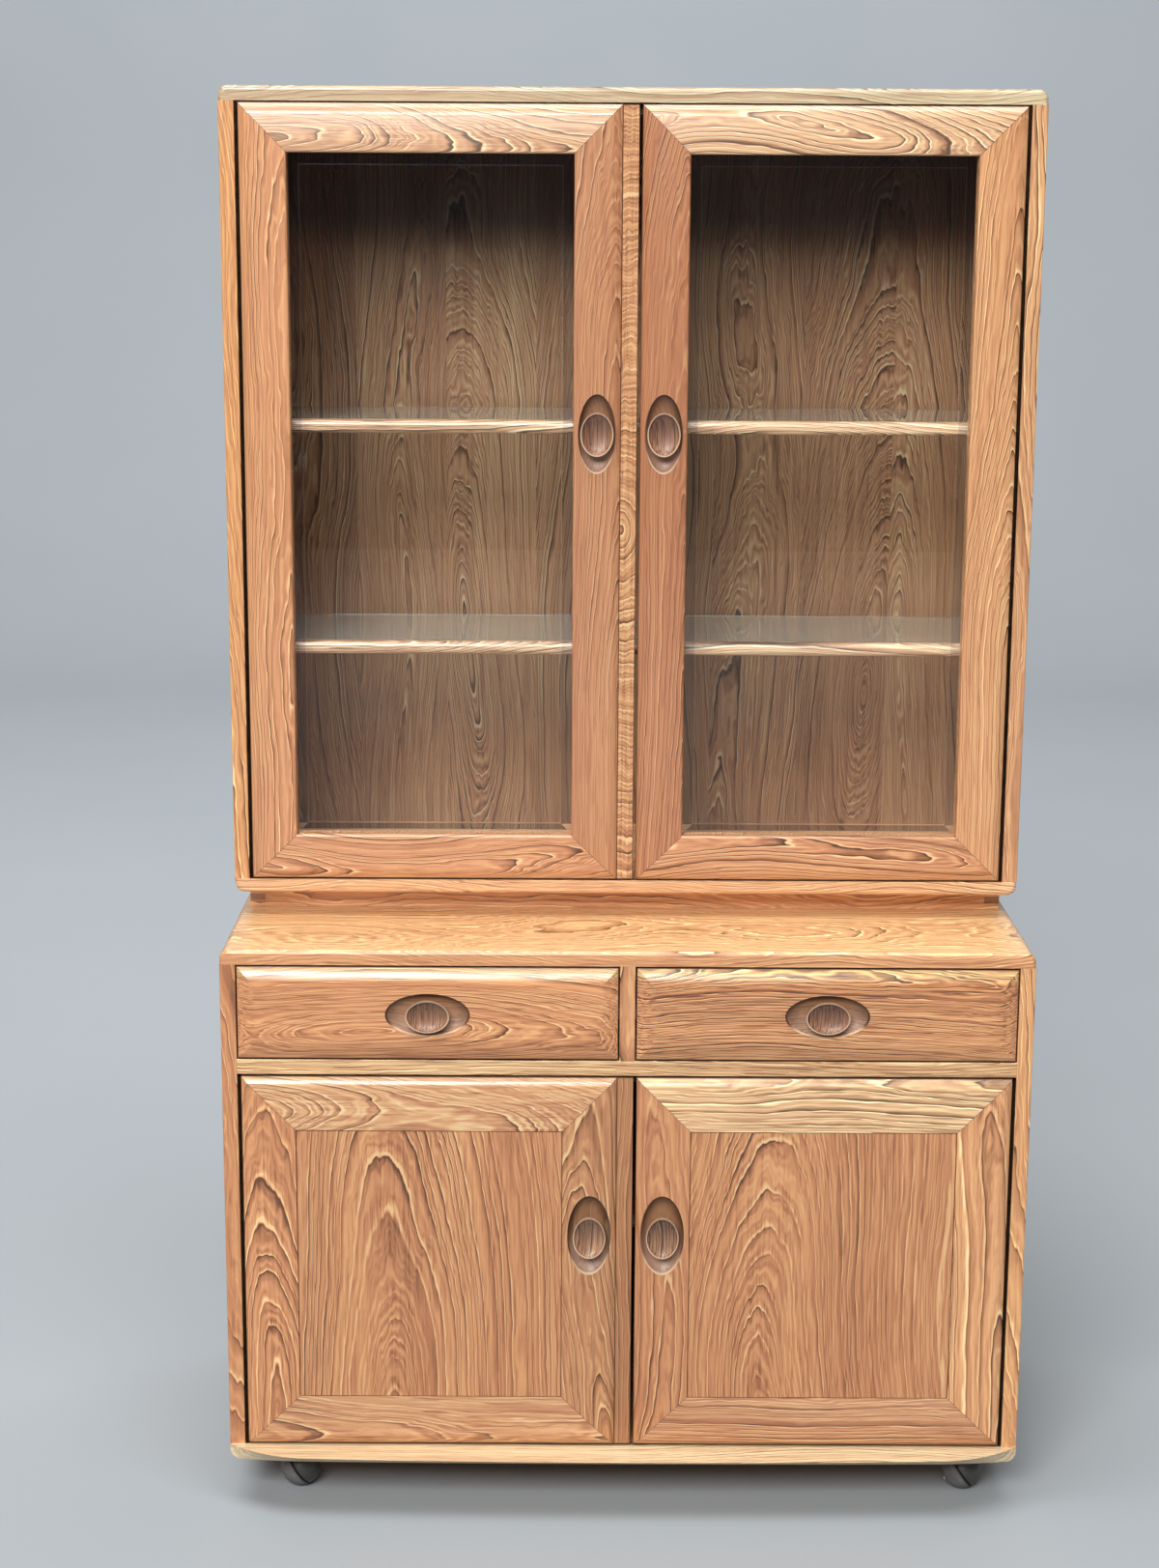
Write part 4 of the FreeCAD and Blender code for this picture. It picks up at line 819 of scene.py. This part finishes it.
# Screws in both leaves of each piano hinge
LEAF_THICKNESS = 0.0008
LEAF_MIDDLE = 0.0107
HINGE_MARGIN = 0.028
HINGE_SCREWS = {"upper": 11, "lower": 6}
for level, hand in DOORS:
    door = f"{level}_door_{hand}"
    sign = SIGNS[hand]
    low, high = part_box(f"{door}_hinge_leaf")
    heights = stations(low.z + HINGE_MARGIN, high.z - HINGE_MARGIN, HINGE_SCREWS[level])
    door_edge = low.x if hand == "right" else high.x
    case_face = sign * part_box("base_side_right")[0].x
    line = low.y + LEAF_MIDDLE
    screws(f"{door}_leaf_screws", door, bronze,
           [(door_edge + sign * LEAF_THICKNESS, line, z) for z in heights], (sign, 0.0, 0.0))
    screws(f"{door}_case_screws", "case", bronze,
           [(case_face - sign * LEAF_THICKNESS, line, z) for z in heights], (-sign, 0.0, 0.0))


# Edge and dimple of a turned disc, in shares of its thickness and radius
DISC_SOFTENING = 0.3
DIMPLE_START = 0.45
DIMPLE_SLOPE = 0.15
DIMPLE_DEPTH = 0.4


def dimpled_disc(name, body, material, place, facing, radius, thickness):
    """A thin turned disc with a softened edge and a dimple in its middle."""

    def turned_disc(shape):
        bmesh.ops.create_cone(shape, cap_ends=True, segments=32, radius1=radius, radius2=radius,
                              depth=thickness)
        rim = [edge for edge in shape.edges if all(vert.co.z > 0 for vert in edge.verts)]
        bmesh.ops.bevel(shape, geom=rim, offset=thickness * DISC_SOFTENING, affect="EDGES", segments=2,
                        profile=0.5, material=-1)
        top = [face for face in shape.faces if face.normal.z > 0.99]
        bmesh.ops.inset_region(shape, faces=top, thickness=radius * DIMPLE_START)
        top = max((face for face in shape.faces if face.normal.z > 0.99), key=lambda face: len(face.verts))
        bmesh.ops.inset_region(shape, faces=[top], thickness=radius * DIMPLE_SLOPE,
                               depth=-thickness * DIMPLE_DEPTH)
        aim = Vector(facing).to_track_quat("Z", "Y").to_matrix().to_4x4()
        bmesh.ops.transform(shape, matrix=Matrix.Translation(place) @ aim, verts=shape.verts)

    finished(made_object(name, turned_disc), body, material)


# Strike discs on the backs of the doors, facing the magnetic catches
STRIKE_RADIUS = 0.0045
STRIKE_THICKNESS = 0.0004
STRIKE_OFFSET = 0.020
CATCH_HEIGHTS = {"upper": 1.5820, "lower": 0.5165}
for level, hand in DOORS:
    door = f"{level}_door_{hand}"
    sign = SIGNS[hand]
    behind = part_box(f"{door}_stiles")[1].y
    dimpled_disc(f"{door}_strike", door, steel,
                 (sign * STRIKE_OFFSET, behind + STRIKE_THICKNESS / 2, CATCH_HEIGHTS[level]), (0.0, 1.0, 0.0),
                 STRIKE_RADIUS, STRIKE_THICKNESS)

# Castor wheels, with painted shade in the split of each ball, and their hub caps
HUB_RADIUS = 0.0052
HUB_THICKNESS = 0.0010
HUB_REACH = 0.0233
for joint in frame["joints"]:
    if joint["name"].endswith("_roll"):
        centre = Vector(joint["pos_m"])
        inwards = Vector(joint["axis"]).normalized()
        outwards = -inwards
        wheel = joint["child"]
        dress(wheel, speckled(f"plastic_{wheel}", tone(92, 89, 87), tone(122, 118, 115), 70.0, 0.55,
                              split=(centre, inwards)))
        dimpled_disc(f"{wheel}_hub", wheel, steel, centre + outwards * HUB_REACH,
                     outwards, HUB_RADIUS, HUB_THICKNESS)


# Studio: a pale floor that sweeps up behind the cabinet
FLOOR_HALF = 9.0
SWEEP_START = 5.2
SWEEP_RADIUS = 1.8
SWEEP_STEPS = 16
WALL_HEIGHT = 5.0
FLOOR_TONES = [(0.0, tone(160, 166, 170)), (1.0, tone(166, 171, 175))]
FLOOR_ROUGHNESS = 0.85
FLOOR_SHINE = 0.2


def sweep(shape):
    """A flat floor, a quarter turn behind it and a wall."""
    bmesh.ops.create_grid(shape, x_segments=1, y_segments=1, size=FLOOR_HALF)
    back_edge = [edge for edge in shape.edges if all(vert.co.y > 0.0 for vert in edge.verts)]
    behind = {vert for edge in back_edge for vert in edge.verts}
    bmesh.ops.translate(shape, verts=list(behind), vec=(0.0, SWEEP_START - FLOOR_HALF, 0.0))
    bmesh.ops.spin(shape, geom=back_edge, cent=(0.0, SWEEP_START, SWEEP_RADIUS), axis=(1.0, 0.0, 0.0),
                   dvec=(0.0, 0.0, 0.0), angle=math.radians(90), steps=SWEEP_STEPS, use_duplicate=False)
    top = max(vert.co.z for vert in shape.verts)
    rim = [edge for edge in shape.edges if all(vert.co.z > top - 0.001 for vert in edge.verts)]
    raised = bmesh.ops.extrude_edge_only(shape, edges=rim)["geom"]
    bmesh.ops.translate(shape, verts=[item for item in raised if isinstance(item, bmesh.types.BMVert)],
                        vec=(0.0, 0.0, WALL_HEIGHT))


floor = made_object("floor", sweep)
for polygon in floor.data.polygons:
    polygon.use_smooth = True
floor_paint, w, shader = started_material("floor_paint")
cloud = w.noise(w.add("ShaderNodeTexCoord").outputs["Object"], 1.3, detail=2.0)
w.feed(shader.inputs["Base Color"], w.ramp(w.total(0.5, cloud), FLOOR_TONES))
shader.inputs["Roughness"].default_value = FLOOR_ROUGHNESS
shader.inputs["Specular IOR Level"].default_value = FLOOR_SHINE
floor.data.materials.append(floor_paint)


def lamp(name, place, aim, width, height, watts):
    """A soft rectangular studio lamp."""
    light = bpy.data.lights.new(name, "AREA")
    light.shape = "RECTANGLE"
    light.size = width
    light.size_y = height
    light.energy = watts
    made = bpy.data.objects.new(name, light)
    made.location = place
    made.rotation_euler = (Vector(aim) - Vector(place)).to_track_quat("-Z", "Y").to_euler()
    scene.collection.objects.link(made)


lamp("overhead", (-0.6, -1.6, 7.0), (0.0, -0.1, 0.8), width=6.0, height=2.6, watts=360.0)
lamp("backdrop", (0.0, 2.2, 5.2), (0.0, 7.0, 0.8), width=7.0, height=1.2, watts=260.0)
lamp("front_high", (-1.6, -6.5, 4.8), (0.0, 0.0, 0.9), width=3.8, height=2.2, watts=580.0)

ROOM_TINT = (0.97, 0.98, 1.0, 1.0)
ROOM_STRENGTH = 0.08
world = bpy.data.worlds.new("studio")
world.use_nodes = True
room_light = world.node_tree.nodes["Background"].inputs
room_light["Color"].default_value = ROOM_TINT
room_light["Strength"].default_value = ROOM_STRENGTH
scene.world = world

# Camera where the photograph was taken
CAMERA_PLACE = (-0.0627, -3.0266, 1.4611)
PITCH, YAW, ROLL = 0.2104, 0.0027, 0.0057
SENSOR_HEIGHT = 36.0
FOCAL_PIXELS = 2727.3
PICTURE_HEIGHT = 1623
forward = Vector((math.sin(YAW) * math.cos(PITCH), math.cos(YAW) * math.cos(PITCH), -math.sin(PITCH)))
level_right = Vector((math.cos(YAW), -math.sin(YAW), 0.0))
level_up = level_right.cross(forward)
right = math.cos(ROLL) * level_right + math.sin(ROLL) * level_up
up = -math.sin(ROLL) * level_right + math.cos(ROLL) * level_up
camera_data = bpy.data.cameras.new("camera")
camera_data.sensor_fit = "VERTICAL"
camera_data.sensor_height = SENSOR_HEIGHT
camera_data.lens = FOCAL_PIXELS / PICTURE_HEIGHT * SENSOR_HEIGHT
camera = bpy.data.objects.new("camera", camera_data)
turned = Matrix((right, up, -forward)).transposed().to_4x4()
camera.matrix_world = Matrix.Translation(CAMERA_PLACE) @ turned
scene.collection.objects.link(camera)
scene.camera = camera
